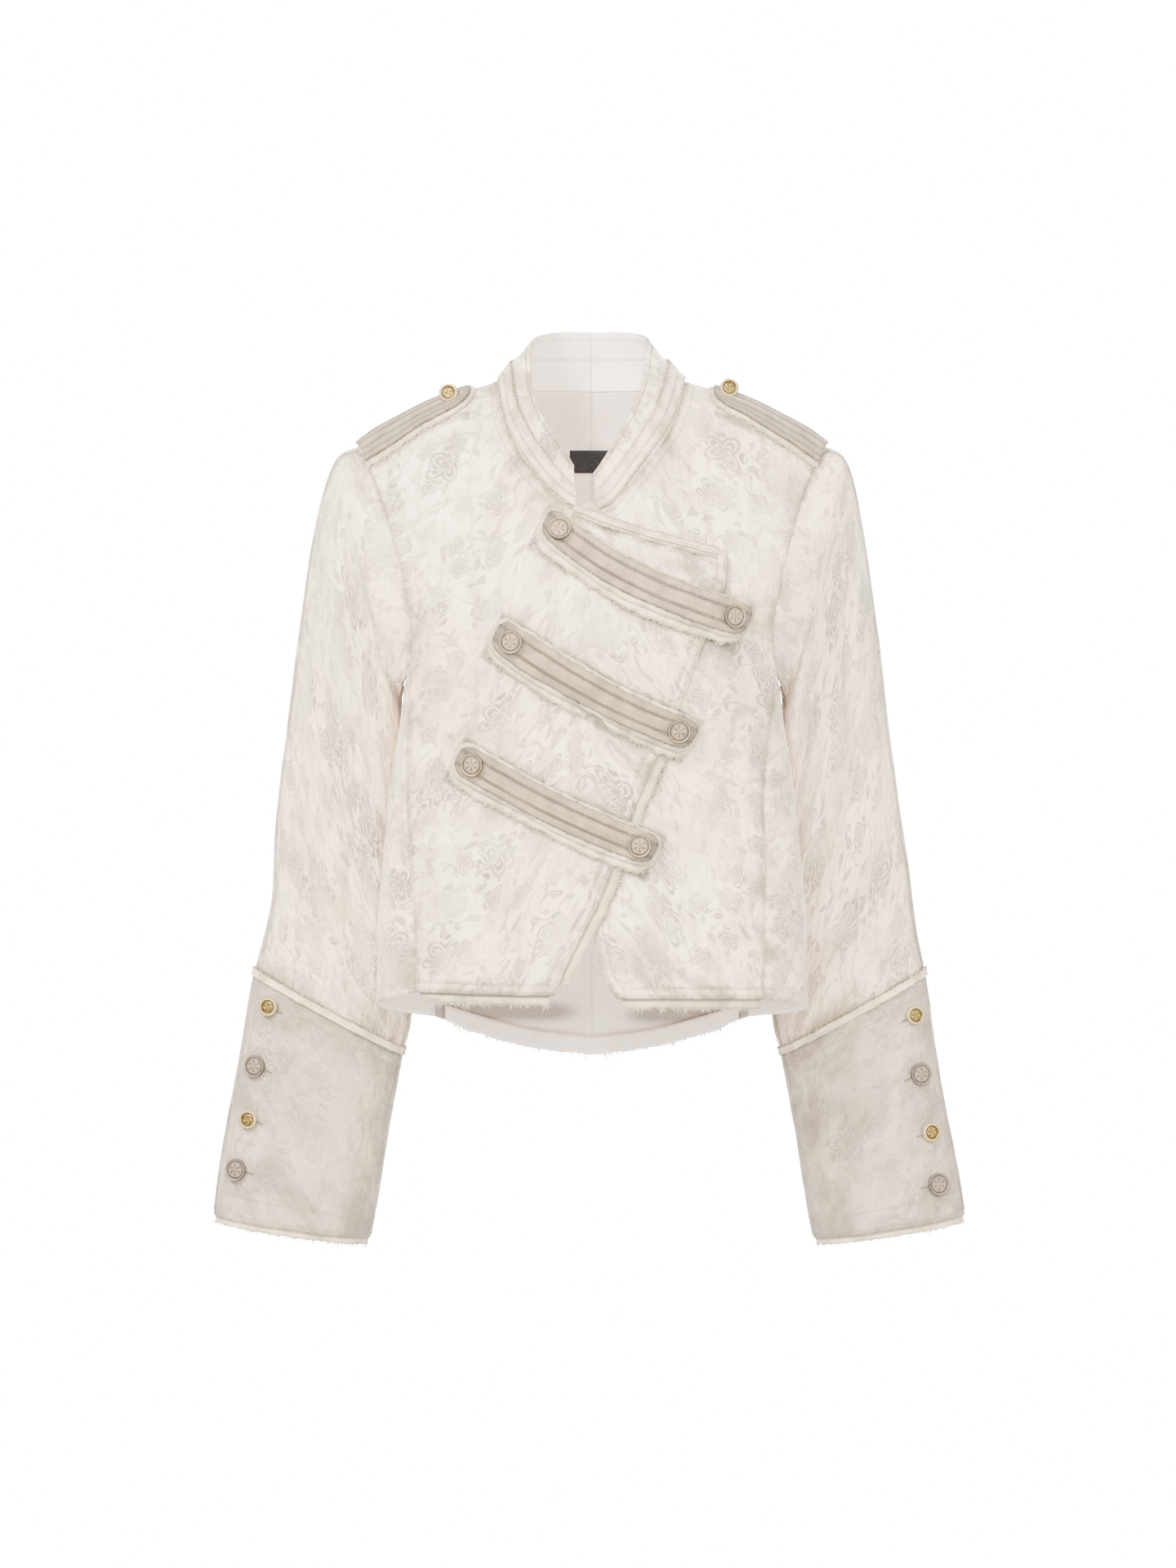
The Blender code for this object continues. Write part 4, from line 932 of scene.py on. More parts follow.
def leaves(place, size, shift):
    """Scattered pointed leaves with a rib."""
    away, chance = scattered(place, size, (shift, -shift, 0.0), 0.9)
    turn = chance.part("X") * 6.28
    c, s = turn.sum_of("COSINE", turn), turn.sum_of("SINE", turn)
    long = away.part("X") * c + away.part("Y") * s
    wide = away.part("Y") * c - away.part("X") * s
    bent = wide + long * long * 0.5
    half = 0.13 * (1 - long * long * 9.0).larger(0.0)
    leaf = (half - bent.sum_of("ABSOLUTE", bent)).between(0.0, 0.02)
    leaf = leaf * chance.part("Y").between(0.32, 0.36)
    rib = bent.sum_of("ABSOLUTE", bent).between(0.022, 0.010)
    veins = (long * 70.0 + bent.sum_of("ABSOLUTE", bent) * 60.0)
    veins = veins.sum_of("SINE", veins).between(-0.2, 0.9)
    return leaf, leaf * rib.larger(veins * 0.6)


def sprays(place, size, seed):
    """Winding stems: thin lines where a warped field passes its middle."""
    field = place.noise(1 / size, 1.0, 0.4, seed)
    return (field - 0.5).sum_of("ABSOLUTE", field - 0.5).between(0.022, 0.008)


def jacquard(name, pale, satin, worn_and_shaded, pattern, stain, sheen=0.25):
    """Woven flowered cloth, tone on tone, soiled where it is handled and sewn, and darkened with painted
    shadow where the noted values pass 1.
    """
    look, start, shader = new_look(name, 0.62, sheen)
    place = on_cloth(start)
    big, big_rings = blossoms(place, 44.0, 7, 13.0, 0.55)
    small, small_rings = blossoms(place, 24.0, 5, 71.0, 0.5)
    leaf, leaf_rib = leaves(place, 19.0, 29.0)
    frond, frond_rib = leaves(place, 13.0, 57.0)
    stem = sprays(place, 34.0, 0.6)
    shape = big.larger(small * 0.9).larger(leaf).larger(frond * 0.8).larger(stem * 0.6)
    inner = big_rings.larger(small_rings).larger(leaf_rib).larger(frond_rib)
    patchy = place.noise(0.018, 3.0, 0.6).between(0.36, 0.62)
    shape_here = shape * (0.35 + 0.65 * patchy) * pattern
    inner_here = inner * (0.35 + 0.65 * patchy) * pattern
    wear = soil_and_shade_of(start)
    cloud = place.noise(0.021, 4.0, 0.62, 0.4)
    drift = place.noise(0.006, 2.0, 0.5)
    # Below 1 the noted values mix in the khaki tone: soiling, and the soft sides of the painted shadow lines
    worn_and_shaded_here = wear.smaller(1.0)
    stain_and_shade = cloud.between(0.40, 0.68) * stain + worn_and_shaded_here * (0.25 + 0.9 * cloud.between(0.35, 0.65))
    stain_and_shade = stain_and_shade.smaller(1.0)
    streaks = place.scaled((1.0, 0.22, 1.0)).noise(0.09, 4.0, 0.65).between(0.48, 0.74)
    colour = mix(drift.between(0.35, 0.65) * 0.75, pale, satin)
    colour = mix(shape_here * 0.72, colour, tone("petal"))
    colour = mix(inner_here * 0.62, colour, satin)
    colour = mix(streaks * 0.55, colour, tone("streak"))
    colour = mix(stain_and_shade * 0.86, colour, worn_and_shaded)
    # Painted shadow: noted values above 1 darken the cloth towards the shadow tone
    colour = mix((wear - 1.0).larger(0.0).smaller(1.0) * 0.75, colour, tone("shadow"))
    join(colour, shader, "Base Color")
    gloss = 0.66 - shape_here * 0.16 + stain_and_shade * 0.08
    join(gloss, shader, "Roughness")
    weave = place.noise(1.9, 2.0, 0.6)
    puffed = place.noise(0.16, 3.0, 0.55, 0.3)
    wrinkle = place.scaled((1.0, 0.55, 1.0)).noise(0.075, 3.0, 0.5, 1.6)
    height = shape_here * 0.34 + inner_here * 0.22 + weave * 0.14 + puffed * 1.0 + wrinkle * 3.2
    raised(height, shader, 0.0010, 1.0)
    return look


def plain_cloth(name, colour, shade, rough=0.7, grain=1.6, sheen=0.2):
    """A plain ply: fine weave, soft stains, paler rubbed threads, and painted shadow where the noted values
    pass 1.
    """
    look, start, shader = new_look(name, rough, sheen)
    place = on_cloth(start)
    wear = soil_and_shade_of(start)
    cloud = place.noise(0.05, 4.0, 0.6)
    threads = place.scaled((1.0, 0.3, 1.0)).noise(grain, 2.0, 0.6)
    stained_and_shaded = mix(cloud.between(0.35, 0.7) * 0.8, colour, shade)
    # Soiling, and the soft sides of painted shadow lines, darken towards the shade tone
    stained_and_shaded = mix(wear.smaller(1.0) * 0.62, stained_and_shaded, shade)
    # Painted shadow: noted values above 1 darken towards the shadow tone
    stained_and_shaded = mix((wear - 1.0).larger(0.0).smaller(1.0) * 0.75, stained_and_shaded, tone("shadow"))
    join(mix(threads.between(0.4, 0.8) * 0.3, stained_and_shaded, shade), shader, "Base Color")
    raised(threads * 0.5 + place.noise(0.3, 2.0, 0.5) * 0.8, shader, 0.0006, 0.8)
    return look


def braid_cloth(name):
    """Braid: across it runs from -12.5 to 12.5 mm, with ribbed bands and two rows of holes."""
    look, start, shader = new_look(name, 0.68, 0.15)
    place = on_cloth(start)
    run, across = place.part("X"), place.part("Y")
    wobble = across + (place.scaled((1.0, 0.0, 0.0)).noise(0.09, 2.0, 0.5) - 0.5) * 1.6
    near = 12.5 - wobble.sum_of("PINGPONG", wobble + 12.5, 12.5)
    row_off = near - 5.6
    row_gap = row_off.sum_of("ABSOLUTE", row_off)
    slant = run * (2 * math.pi / 1.9) + row_off * 1.6
    holes = slant.sum_of("SINE", slant).between(-0.2, 0.6) * row_gap.between(2.1, 0.9)
    knots = place.scaled((1.0, 1.0, 0.0)).noise(1.1, 2.0, 0.7)
    fuzz = place.noise(2.3, 3.0, 0.7)
    centre = near.between(1.1, 0.7) * near.between(0.25, 0.5)
    ribs = (run * (2 * math.pi / 1.25) + near * 0.7)
    ribs = ribs.sum_of("SINE", ribs) * 0.5 + 0.5
    cloud = place.noise(0.06, 3.0, 0.6)
    colour = mix(cloud.between(0.35, 0.65), tone("braid_light"), tone("braid_mid"))
    colour = mix(fuzz.between(0.42, 0.7) * 0.38, colour, tone("braid_dark"))
    colour = mix(knots.between(0.5, 0.75) * 0.30, colour, tone("braid_pale"))
    colour = mix(centre * 0.35, colour, tone("braid_pale"))
    colour = mix(row_gap.between(2.3, 0.4) * 0.25, colour, tone("braid_dark"))
    colour = mix(holes * 0.82, colour, tone("braid_hole"))
    wear = soil_and_shade_of(start)
    colour = mix(wear.smaller(1.0) * 0.72, colour, tone("braid_edge"))
    join(colour, shader, "Base Color")
    height = knots * 0.7 + fuzz * 0.6 + ribs * 0.35 + centre * 0.5 - holes * 1.2
    raised(height, shader, 0.0007, 1.0)
    return look


def metal_look(name, colour, dark, rough, metal, grain):
    look, start, shader = new_look(name, rough, 0.0, metal)
    place = start.make("ShaderNodeTexCoord", None, None, 3)
    dirt_and_shade = soil_and_shade_of(start)
    cloud = place.noise(grain, 3.0, 0.6)
    # The noted values darken the metal, with random tarnish: soiling in the hollows and painted shade on the
    # buttons' outer edges
    join(mix((dirt_and_shade + cloud.between(0.4, 0.75) * 0.25).smaller(1.0), colour, dark), shader, "Base Color")
    join(rough + cloud * 0.15, shader, "Roughness")
    raised(cloud, shader, 0.0001, 0.4)
    return look


LOOKS = dict(
    cloth=jacquard("flowered_cloth", tone("cream"), tone("lilac"), tone("khaki"), 1.25, 0.36),
    cuff=jacquard("cuff_flowered_cloth", tone("cuff_pale"), tone("cuff_satin"), tone("cuff_worn_and_shaded"), 1.0, 0.70),
    lining=plain_cloth("lining_cloth", tone("lining"), tone("lining_shade"), 0.6),
    ply=plain_cloth("raw_ply", tone("ply"), tone("ply_shade")),
    braid=braid_cloth("braid_band"),
    label=plain_cloth("label_cloth", tone("label"), tone("label_shade"), 0.8),
    thread=plain_cloth("sewing_thread", tone("thread"), tone("thread_shade"), 0.7, 4.0),
    fray=plain_cloth("frayed_thread", tone("fray"), tone("fray_shade"), 0.8, 4.0),
    dark_thread=plain_cloth("braid_thread", tone("dark_thread"), tone("dark_thread_shade"), 0.8, 4.0),
    pewter=metal_look("pewter_metal", tone("pewter"), tone("pewter_dirt_and_shade"), 0.42, 0.25, 240.0),
    champagne=metal_look("champagne_metal", tone("champagne"), tone("champagne_dirt_and_shade"), 0.42, 0.25, 240.0),
    gold=metal_look("old_gold", tone("gold"), tone("gold_dirt"), 0.34, 0.85, 500.0),
    cream_ring=metal_look("cream_ring", tone("ring"), tone("ring_dirt_and_shade"), 0.35, 0.1, 300.0),
)


# Fronts, backs and sides
BUILT = {}
RAW_EDGES = []
ADDED = ("tab_binding_1", "tab_binding_2")


def keep(obj, node, slot_name):
    """Hands a piece to the frame, standing for its node unless it is an added one."""
    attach(obj, "root")
    if node not in ADDED:
        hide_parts(node)
    BUILT[node] = obj
    return obj


def layer_piece(node, outer, normals, shape, thick, look, flat, wear, closed=False):
    """A raw-edged strip of cloth, handed back as grids of its points and their ways out."""
    faces = grid_faces(*shape, closed)
    keep(cloth_piece(node, outer, normals, faces, thick, (LOOKS[look],), flat, wear, 0.0), node, look)
    return outer.reshape(*shape, 3), normals.reshape(*shape, 3)


def raw_edge(name, grids, side, reach, closed=False):
    """Notes a strip's edge where threads hang out."""
    grid, out = grids
    sides = dict(low=(np.s_[:, -1], np.s_[:, -2]), top=(np.s_[:, 0], np.s_[:, 1]), end=(-1, -2), start=(0, 1))
    at, behind = sides[side]
    RAW_EDGES.append((name, grid[at], grid[at] - grid[behind], out[at], reach, closed))


def lift_of(hand):
    return overlap_lift if hand < 0 else (lambda x: np.zeros_like(x))


def past_strap(row, flat):
    """How far outside a strap's lowest layer each flat point lies."""
    start = np.array((row["x0"], row["z0"]))
    way = np.array((row["x1"], row["z1"])) - start
    length = np.linalg.norm(way)
    way = way / length
    run = (flat - start) @ way
    off = (flat - start) @ np.array((-way[1], way[0]))
    share = np.clip(run / length, 0, 1)
    off = off + row["sag"] * 4 * share * (1 - share)
    ends = np.maximum(np.maximum(-run, run - length) - 16 * MM, 0)
    return np.hypot(ends, np.maximum(np.maximum(off - 14.5 * MM, -22 * MM - off), 0))


def past_edge(spots):
    """How far past the overlapping front's edge, or its ply, each (x, z) lies."""
    return spots[:, 0] - edge_x(spots[:, 1]) - EDGE_PLY_SHOWS * ease(-0.275, -0.290, spots[:, 1])


def front_marks(spots, x, q, hand, parts):
    """Darkening of a front's (x, z) points: soiling round the straps, beside edges and seams and towards the
    hem, a soft darkening below the tab, and thin painted shadow lines round the straps' base layer, beside
    the overlapping front's edge, at the neck seam, at the hem, along the welt and under the epaulettes' edge.
    """
    marks = [ease(-0.40, -0.50, spots[:, 1]) * 0.35]
    for row in rows(STRAPS):
        past = past_strap(row, spots)
        # A thin painted shadow line round the strap's base layer, over a soft soiling
        marks.append(np.exp(-past / (10 * MM)) * 0.48 + hill(past, 0, 1.9 * MM) * 1.35)
    if hand > 0:
        past = np.abs(past_edge(spots))
        # A thin painted shadow line beside the overlapping front's edge and its ply, over a soft soiling
        under = hill(past, 0, 1.9 * MM) * 1.7 + np.exp(-past / (12 * MM)) * 0.5
        marks.append(under * ease(-0.12, -0.15, spots[:, 1]))
    else:
        tab = near_line(spots, np.array([(0.03, -0.15), (0.095, -0.158)]))
        marks.append(np.exp(-tab / 0.020) * 0.85)
    neck, edge, hem = (near_line(spots, parts[side]) for side in (1, 2, 3))
    # Thin painted shadow lines at the neck seam and the hem, over soft soiling, and one along the welt
    marks.append(hill(neck, 0, 2.2 * MM) * 1.5 + np.exp(-neck / (12 * MM)) * 0.35)
    marks.append(np.exp(-hem / (2.2 * MM)) * 1.35 + np.exp(-hem / (12 * MM)) * 0.4)
    welt = np.minimum(hem, edge) - 9.5 * MM
    marks.append(hill(welt, 0, 1.3 * MM) * 1.2)
    away = np.abs(x)
    shoulder = np.abs(q - 57 * MM) * (away > 0.10)
    # A thin painted shadow line on the front under the epaulette base's edge
    epaulette_shadow = hill(np.maximum(shoulder - 2 * MM, 0), 0, 2.4 * MM) * 1.4
    marks.append(epaulette_shadow * (away > 0.10) * ease(0.19, 0.175, away))
    return marks


def panel(node, hand, back, parts, where, seed):
    """A body panel on its outline's parts, each a line of (x, z)."""
    outline = []
    for line in parts:
        line = np.array(line, float)
        flat = np.stack([line[:, 0], to_flat(line[:, 0], line[:, 1])], axis=1)
        outline.append(along(flat, 4.2 * MM)[:-1])
    outline = np.concatenate(outline)

    def by_layers(flat):
        spots = np.stack([flat[:, 0], from_flat(flat[:, 0], flat[:, 1])], axis=1)
        neck, edge, hem = (near_line(spots, parts[side]) for side in (1, 2, 3))
        wanted = (neck < 5 * MM) | (np.minimum(hem, edge) < 12 * MM)
        for row in rows(STRAPS):
            past = past_strap(row, spots)
            wanted |= (past < 6 * MM) & (past > 0)
        if hand > 0:
            wanted |= np.abs(past_edge(spots)) < 5 * MM
        wanted |= (np.abs(np.abs(flat[:, 1]) - 58 * MM) < 7 * MM) & (np.abs(flat[:, 0]) > 0.095)
        return wanted

    places, faces = fill(outline, CELL, None if back else by_layers)
    x, q = places[:, 0], places[:, 1]
    normals = torso_normal(x, q, back)
    base = torso(x, q, back)
    spots, z = base[:, [0, 2]], base[:, 2]
    lift = np.zeros(len(x)) if back else lift_of(hand)(x)
    far = np.concatenate([inside_of(outline, part, 0)[1] for part in np.array_split(places, 10)])
    sewn = np.concatenate([np.array(line) for line in parts[:1] + parts[-2:]])
    gap = np.linalg.norm(spots[:, None] - sewn[None], axis=-1).min(axis=1)
    pucker = np.sin(z * 2 * math.pi / 0.017 + np.sin(z * 90) * 2) * np.exp(-gap / 0.007)
    high = creased(where, base, seed) * ease(0.0, 0.012, gap) + pucker * 0.32 * MM
    marks = [np.exp(-far / 0.010) * 0.75]
    marks += [ease(-0.42, -0.56, z) * 0.3] if back else front_marks(spots, x, q, hand, parts)
    wear = np.maximum.reduce(marks)
    inside = 0.1 * wear
    if back:
        # Painted shadow on the back's inner side just below the front hems, left light in the middle notch
        below = smooth(HEM, "out", "left" if hand > 0 else "right", np.abs(x)) - z
        inside = inside + 2.3 * hill(below, 24 * MM, 12 * MM) * (1 - hill(x, 0.008, 0.022))
    outer = base + normals * (lift + high)[:, None]
    looks = (LOOKS["cloth"], LOOKS["lining"])
    piece = cloth_piece(node, outer, normals, faces, CLOTH, looks, places, wear, inside=inside)
    return keep(piece, node, "cloth")


def make_fronts():
    for hand, name, table in ((-1, "right", RIGHT_EDGE), (1, "left", LEFT_EDGE)):
        seam = princess_line(hand, False)
        edge = edge_line(table, name)
        hem = hem_line(hand, name, abs(seam[-1, 0]), edge[-1, 0] * hand)
        parts = [
            shoulder_line(hand),
            np.concatenate([neck_line(hand, False)[:-1], edge[:1]]),
            edge,
            hem[::-1],
            seam[::-1],
            armhole_line(hand, FRONT_NOTCH, 0),
        ]
        panel("front_" + name, hand, False, parts, "front", 3 if hand < 0 else 5)


def make_backs():
    for hand, name in HANDS:
        seam = princess_line(hand, True)
        neck = neck_line(hand, True)
        hem = hem_line(hand, "back", abs(seam[-1, 0]), 0.0)
        middle = np.array([neck[-1], hem[-1]])
        parts = [
            shoulder_line(hand),
            neck,
            middle,
            hem[::-1],
            seam[::-1],
            armhole_line(hand, BACK_NOTCH, 1.0),
        ]
        panel("back_" + name, hand, True, parts, "back", 11 if hand < 0 else 13)


def make_sides():
    for hand, name in HANDS:
        front, rear = princess_line(hand, False, 84), princess_line(hand, True, 84)
        top_share = np.linspace(FRONT_NOTCH, BACK_NOTCH, 25)
        top_x, top_z = armhole(top_share)
        left = np.stack([side_turn(front[:, 0], front[:, 1], False), front[:, 1]], axis=1)
        right = np.stack([side_turn(rear[:, 0], rear[:, 1], True), rear[:, 1]], axis=1)
        turn = np.where(top_share > 0.5, side_turn(top_x, top_z, True), side_turn(top_x, top_z, False))
        upper = np.stack([turn, top_z], axis=1)
        u = np.linspace(0, 1, 25)[None, :, None]
        v = np.linspace(0, 1, 85)[:, None, None]
        lower = left[-1] + (right[-1] - left[-1]) * u[0]
        corners = (1 - u) * (1 - v) * left[0] + u * (1 - v) * right[0]
        corners = corners + (1 - u) * v * left[-1] + u * v * right[-1]
        grid = (1 - u) * left[:, None] + u * right[:, None]
        grid = grid + (1 - v) * upper[None] + v * lower[None] - corners
        places = grid.reshape(-1, 2)
        base = side_point(places[:, 0], places[:, 1], hand)
        normals = side_normal(places[:, 0], places[:, 1], hand)
        share = np.broadcast_to(u, (85, 25, 1)).reshape(-1)
        near = np.minimum(share, 1 - share) * 0.09
        high = creased("side", base, 17 + hand) * ease(0, 0.012, near)
        pucker = np.sin(base[:, 2] * 2 * math.pi / 0.017) * np.exp(-near / 0.007)
        outer = base + normals * (high + pucker * 0.32 * MM)[:, None]
        flat = np.stack([(share - 0.5) * 0.11 + 0.3 * hand, -base[:, 2]], axis=1)
        wear = np.exp(-near / 0.01) * 0.6 + ease(-0.42, -0.51, base[:, 2]) * 0.3
        looks = (LOOKS["cloth"], LOOKS["lining"])
        piece = cloth_piece("side_" + name, outer, normals, grid_faces(85, 25), CLOTH, looks, flat, wear)
        keep(piece, "side_" + name, "cloth")


# Sleeves and cuffs
def ring(values, hand, power):
    outside = values["outer_left" if hand > 0 else "outer_right"]
    outer = np.array((outside * hand, values["back"], values["outer_z"]))
    inner = np.array((values["inner"] * hand, values["back"], values["inner_z"]))
    middle, arm = (outer + inner) / 2, (outer - inner) / 2
    angle = np.linspace(0, 2 * math.pi, TURNS, endpoint=False)
    c, s = np.cos(angle), np.sin(angle)
    c = np.sign(c) * np.abs(c) ** (2 / power)
    s = np.sign(s) * np.abs(s) ** (2 / power)
    return middle + arm * c[:, None] + np.stack([0 * s, -values["depth"] * s, 0 * s], axis=1)


def armhole_ring(hand):
    share = np.arange(TURNS) / TURNS
    x, z = armhole(share)
    front, rear = torso(hand * x, to_flat(x, z), False), torso(hand * x, to_flat(x, z), True)
    points = np.where((share <= 0.5)[:, None], front, rear)
    points[0, 1] = 0.0
    points[TURNS // 2] = side_point(0.0, float(z[TURNS // 2]), hand)
    return points


def through(rings, steps):
    """Rings in between the given ones, on a smooth curve through them."""
    rings = np.array(rings)
    padded = np.concatenate([2 * rings[:1] - rings[1:2], rings, 2 * rings[-1:] - rings[-2:-1]])
    result = []
    for i in range(len(rings) - 1):
        a, b, c, d = padded[i : i + 4]
        for t in np.arange(steps) / steps:
            square, cube = (2 * a - 5 * b + 4 * c - d) * t**2, (3 * b - a - 3 * c + d) * t**3
            result.append(0.5 * (2 * b + (c - a) * t + square + cube))
    return np.array(result + [rings[-1]])


def tube_normals(rings):
    below = np.concatenate([rings[1:], rings[-1:]]) - np.concatenate([rings[:1], rings[:-1]])
    around = np.roll(rings, -1, axis=1) - np.roll(rings, 1, axis=1)
    normals = units(np.cross(around, below))
    away = rings[-1] - rings[-1].mean(axis=0)
    return normals if np.sum(normals[-1] * away) > 0 else -normals


def cut_tube(points, normals, flat, wear, first, last):
    """The part of a tube between two seams, as a grid."""
    picks = np.arange(first, last + 1)
    wide = np.stack([flat[:, p % TURNS] + np.array((TURNS if p >= TURNS else 0, 0)) for p in picks], axis=1)
    picks = picks % TURNS
    faces = grid_faces(len(points), len(picks))
    flats = points[:, picks].reshape(-1, 3), normals[:, picks].reshape(-1, 3)
    return *flats, faces, wide.reshape(-1, 2), wear[:, picks].reshape(-1)


TUBES = {}


def sewn_tube(kind, hand, name, rings, normals, seed, top_wear, low_wear):
    """Front and back halves of a sleeve or cuff, with their folds."""
    down = len(rings)
    flat_points = rings.reshape(-1, 3)
    front = creased(f"{kind}_{name}_front", flat_points, seed).reshape(down, TURNS)
    rear = creased(f"{kind}_{name}_back", flat_points, seed).reshape(down, TURNS)
    share = ease(-0.25, 0.35, -normals[..., 1])
    high = front * share + rear * (1 - share)
    v = np.linspace(0, 1, down)[:, None]
    turn = np.arange(TURNS)[None]
    around = np.minimum(np.abs(turn - OUTER_SEAM), np.abs(turn - INNER_SEAM)) / TURNS * 0.33
    high = high * ease(0.0, 0.045, v) * ease(1.0, 0.965, v)
    groove = np.exp(-around / 0.0035) * -0.5 * MM
    length = np.linalg.norm(rings[-1] - rings[0], axis=1)[None]
    ripple = np.sin(turn * 2 * math.pi / TURNS * 23 + np.sin(turn * 0.4) * 1.3)
    cap = 0.5 if kind == "sleeve" else 0.25
    high = high + groove + ripple * np.exp(-v * length / 0.013) * cap * MM
    outer = rings + normals * high[..., None]
    girth = np.linalg.norm(np.roll(rings, -1, axis=1) - rings, axis=2).sum(axis=1).mean() / TURNS
    run = np.stack([np.broadcast_to(values, (down, TURNS)) for values in (turn * girth, v * length)], axis=2)
    run = run + np.array((0.7 * hand, 0.4 if kind == "cuff" else 0.0))
    from_top, from_low = v * length, (1 - v) * length
    # Soiling beside the seams, and a thin painted shade line in each seam groove
    wear = np.exp(-around / 0.008) * 0.55 + np.exp(-around / 0.002) * 0.6
    wear = wear + top_wear * np.exp(-from_top / 0.018) + low_wear * np.exp(-from_low / 0.03)
    if kind == "cuff":
        # Thin painted shade lines at the cuff's lower edge and just below the loose band's edge
        wear = np.minimum(wear, 0.9) * 0.6 + 0.06 + np.exp(-from_low / 0.0022) * 0.6
        wear = wear + np.exp(-np.abs(from_top - 0.0072) / 0.002) * 0.8
    else:
        # Thin painted shade lines where the sleeve meets the cuff and at the armhole
        wear = wear + np.exp(-from_low / 0.0022) * 0.9 + np.exp(-from_top / 0.0022) * 0.5
    TUBES[kind + "_" + name] = (outer, normals)
    looks = (LOOKS["cuff" if kind == "cuff" else "cloth"], LOOKS["lining"])
    for side, first, last in (("front", OUTER_SEAM, INNER_SEAM), ("back", INNER_SEAM, OUTER_SEAM + TURNS)):
        points, facing, faces, flat, worn_and_shaded = cut_tube(outer, normals, run, wear, first, last)
        flat[:, 0] = np.where(flat[:, 0] > 50, flat[:, 0] - TURNS + TURNS * girth, flat[:, 0])
        node = f"{kind}_{side}_{name}"
        keep(cloth_piece(node, points, facing, faces, CLOTH, looks, flat, worn_and_shaded), node, "cloth")


def ragged(count, size, seed):
    """An uneven edge: smoothed random offsets of at most size."""
    rng = np.random.default_rng(seed)
    rough = rng.normal(size=count)
    for _ in range(2):
        rough = (np.roll(rough, 1) + rough + np.roll(rough, -1)) / 3
    return rough / max(np.abs(rough).max(), 1e-6) * size


def loose_ring(node, key, end, out, high, low, seed):
    """A raw-edged band round a tube's end, from high to low along it."""
    rings, normals = TUBES[key]
    near, far = (rings[0], rings[6]) if end == 0 else (rings[-1], rings[-7])
    facing = normals[end]
    down = 13
    way = units(far - near) * (1 if end == 0 else -1)
    fine = 3
    index = np.arange(TURNS * fine) / fine
    low_index = index.astype(int) % TURNS
    t = (index - index.astype(int))[:, None]

    def blended(values):
        return values[low_index] * (1 - t) + values[(low_index + 1) % TURNS] * t

    near, way, facing = blended(near), units(blended(way)), units(blended(facing))
    count = TURNS * fine
    points, normals_of, flat, wear = [], [], [], []
    rough_high, rough_low = ragged(count, 0.45 * MM, seed), ragged(count, 0.7 * MM, seed + 1)
    for i in range(down):
        share = i / (down - 1)
        reach = high + (low - high) * share + rough_high * (1 - share) ** 3 + rough_low * share**3
        wave = np.sin(index * 0.9 + seed) * 0.25 * MM * share
        dip = -0.45 * MM * hill(share, 0.5, 0.13) if end == 0 else 0.0
        points.append(near + way * reach[:, None] + facing * (out + wave + dip)[:, None])
        normals_of.append(facing)
        flat.append(np.stack([index * 0.0028, np.full(count, share * abs(low - high))], axis=1))
        # Painted shade along both edges of the band
        dark = math.exp(-share / 0.09) + math.exp(-(1 - share) / 0.09)
        wear.append(np.full(count, 0.15 + 1.15 * dark))
    points, normals_of, flat, wear = (np.concatenate(part) for part in (points, normals_of, flat, wear))
    return layer_piece(node, points, normals_of, (down, count), PLY, "ply", flat, wear, closed=True)


def make_sleeves():
    for hand, name in HANDS:
        table = [ring(row, hand, SLEEVE_POWER) for row in rows(SLEEVE)[:-1]]
        table.append(ring(rows(SLEEVE)[-1], hand, CUFF_POWER))
        rings = through([armhole_ring(hand)] + table, 7)
        normals = tube_normals(rings)
        x, z = armhole(np.arange(TURNS) / TURNS)
        cloth = torso_normal(hand * x, to_flat(x, z), False)
        rear = torso_normal(hand * x, to_flat(x, z), True)
        cloth = np.where((np.arange(TURNS) <= TURNS // 2)[:, None], cloth, rear)
        agree = (cloth * normals[0]).sum(axis=1)[:, None] > 0.3
        first = np.where(agree, units(cloth + normals[0]), normals[0])
        for i in range(4):
            share = 1 - i / 4
            normals[i] = units(first * share + normals[i] * (1 - share))
        sewn_tube("sleeve", hand, name, rings, normals, 31 + hand, 0.25, 0.6)
        rings = through([ring(row, hand, CUFF_POWER) for row in rows(CUFF)], 8)
        normals = tube_normals(rings)
        sewn_tube("cuff", hand, name, rings, normals, 41 + hand, 0.5, 0.7)
        band = loose_ring("cuff_band_" + name, "cuff_" + name, 0, 1.9 * MM, -1 * MM, 5.5 * MM, 51 + hand)
        inside = -(CLOTH + 0.5 * MM)
        ply = loose_ring("cuff_ply_" + name, "cuff_" + name, -1, inside, -8 * MM, 5 * MM, 61 + hand)
        raw_edge("cuff_ply_" + name, ply, "end", 3.2 * MM, True)
        raw_edge("cuff_band_" + name, band, "start", 1.2 * MM, True)


# Collar
def collar_base(turn):
    turn = np.asarray(turn, float)
    share = np.minimum(turn, 1 - turn)
    hand = np.where(turn <= 0.5, -1.0, 1.0)
    start = np.where(hand < 0, NECK_START["right"], NECK_START["left"])
    out = start + (NECK_SHOULDER - start) * np.sin(np.clip(share / NECK_FRONT, 0, 1) * math.pi / 2)
    z = np.where(hand < 0, smooth(NECK, "out", "right", out), smooth(NECK, "out", "left", out))
    front = torso(hand * out, to_flat(out, z), False)
    around = np.clip((share - NECK_FRONT) / (0.5 - NECK_FRONT), 0, 1)
    out = NECK_SHOULDER * np.cos(around * math.pi / 2)
    rear = torso(hand * out, to_flat(out, smooth(NECK, "out", "back", out)), True)
    return np.where((share < NECK_FRONT)[:, None], front, rear)


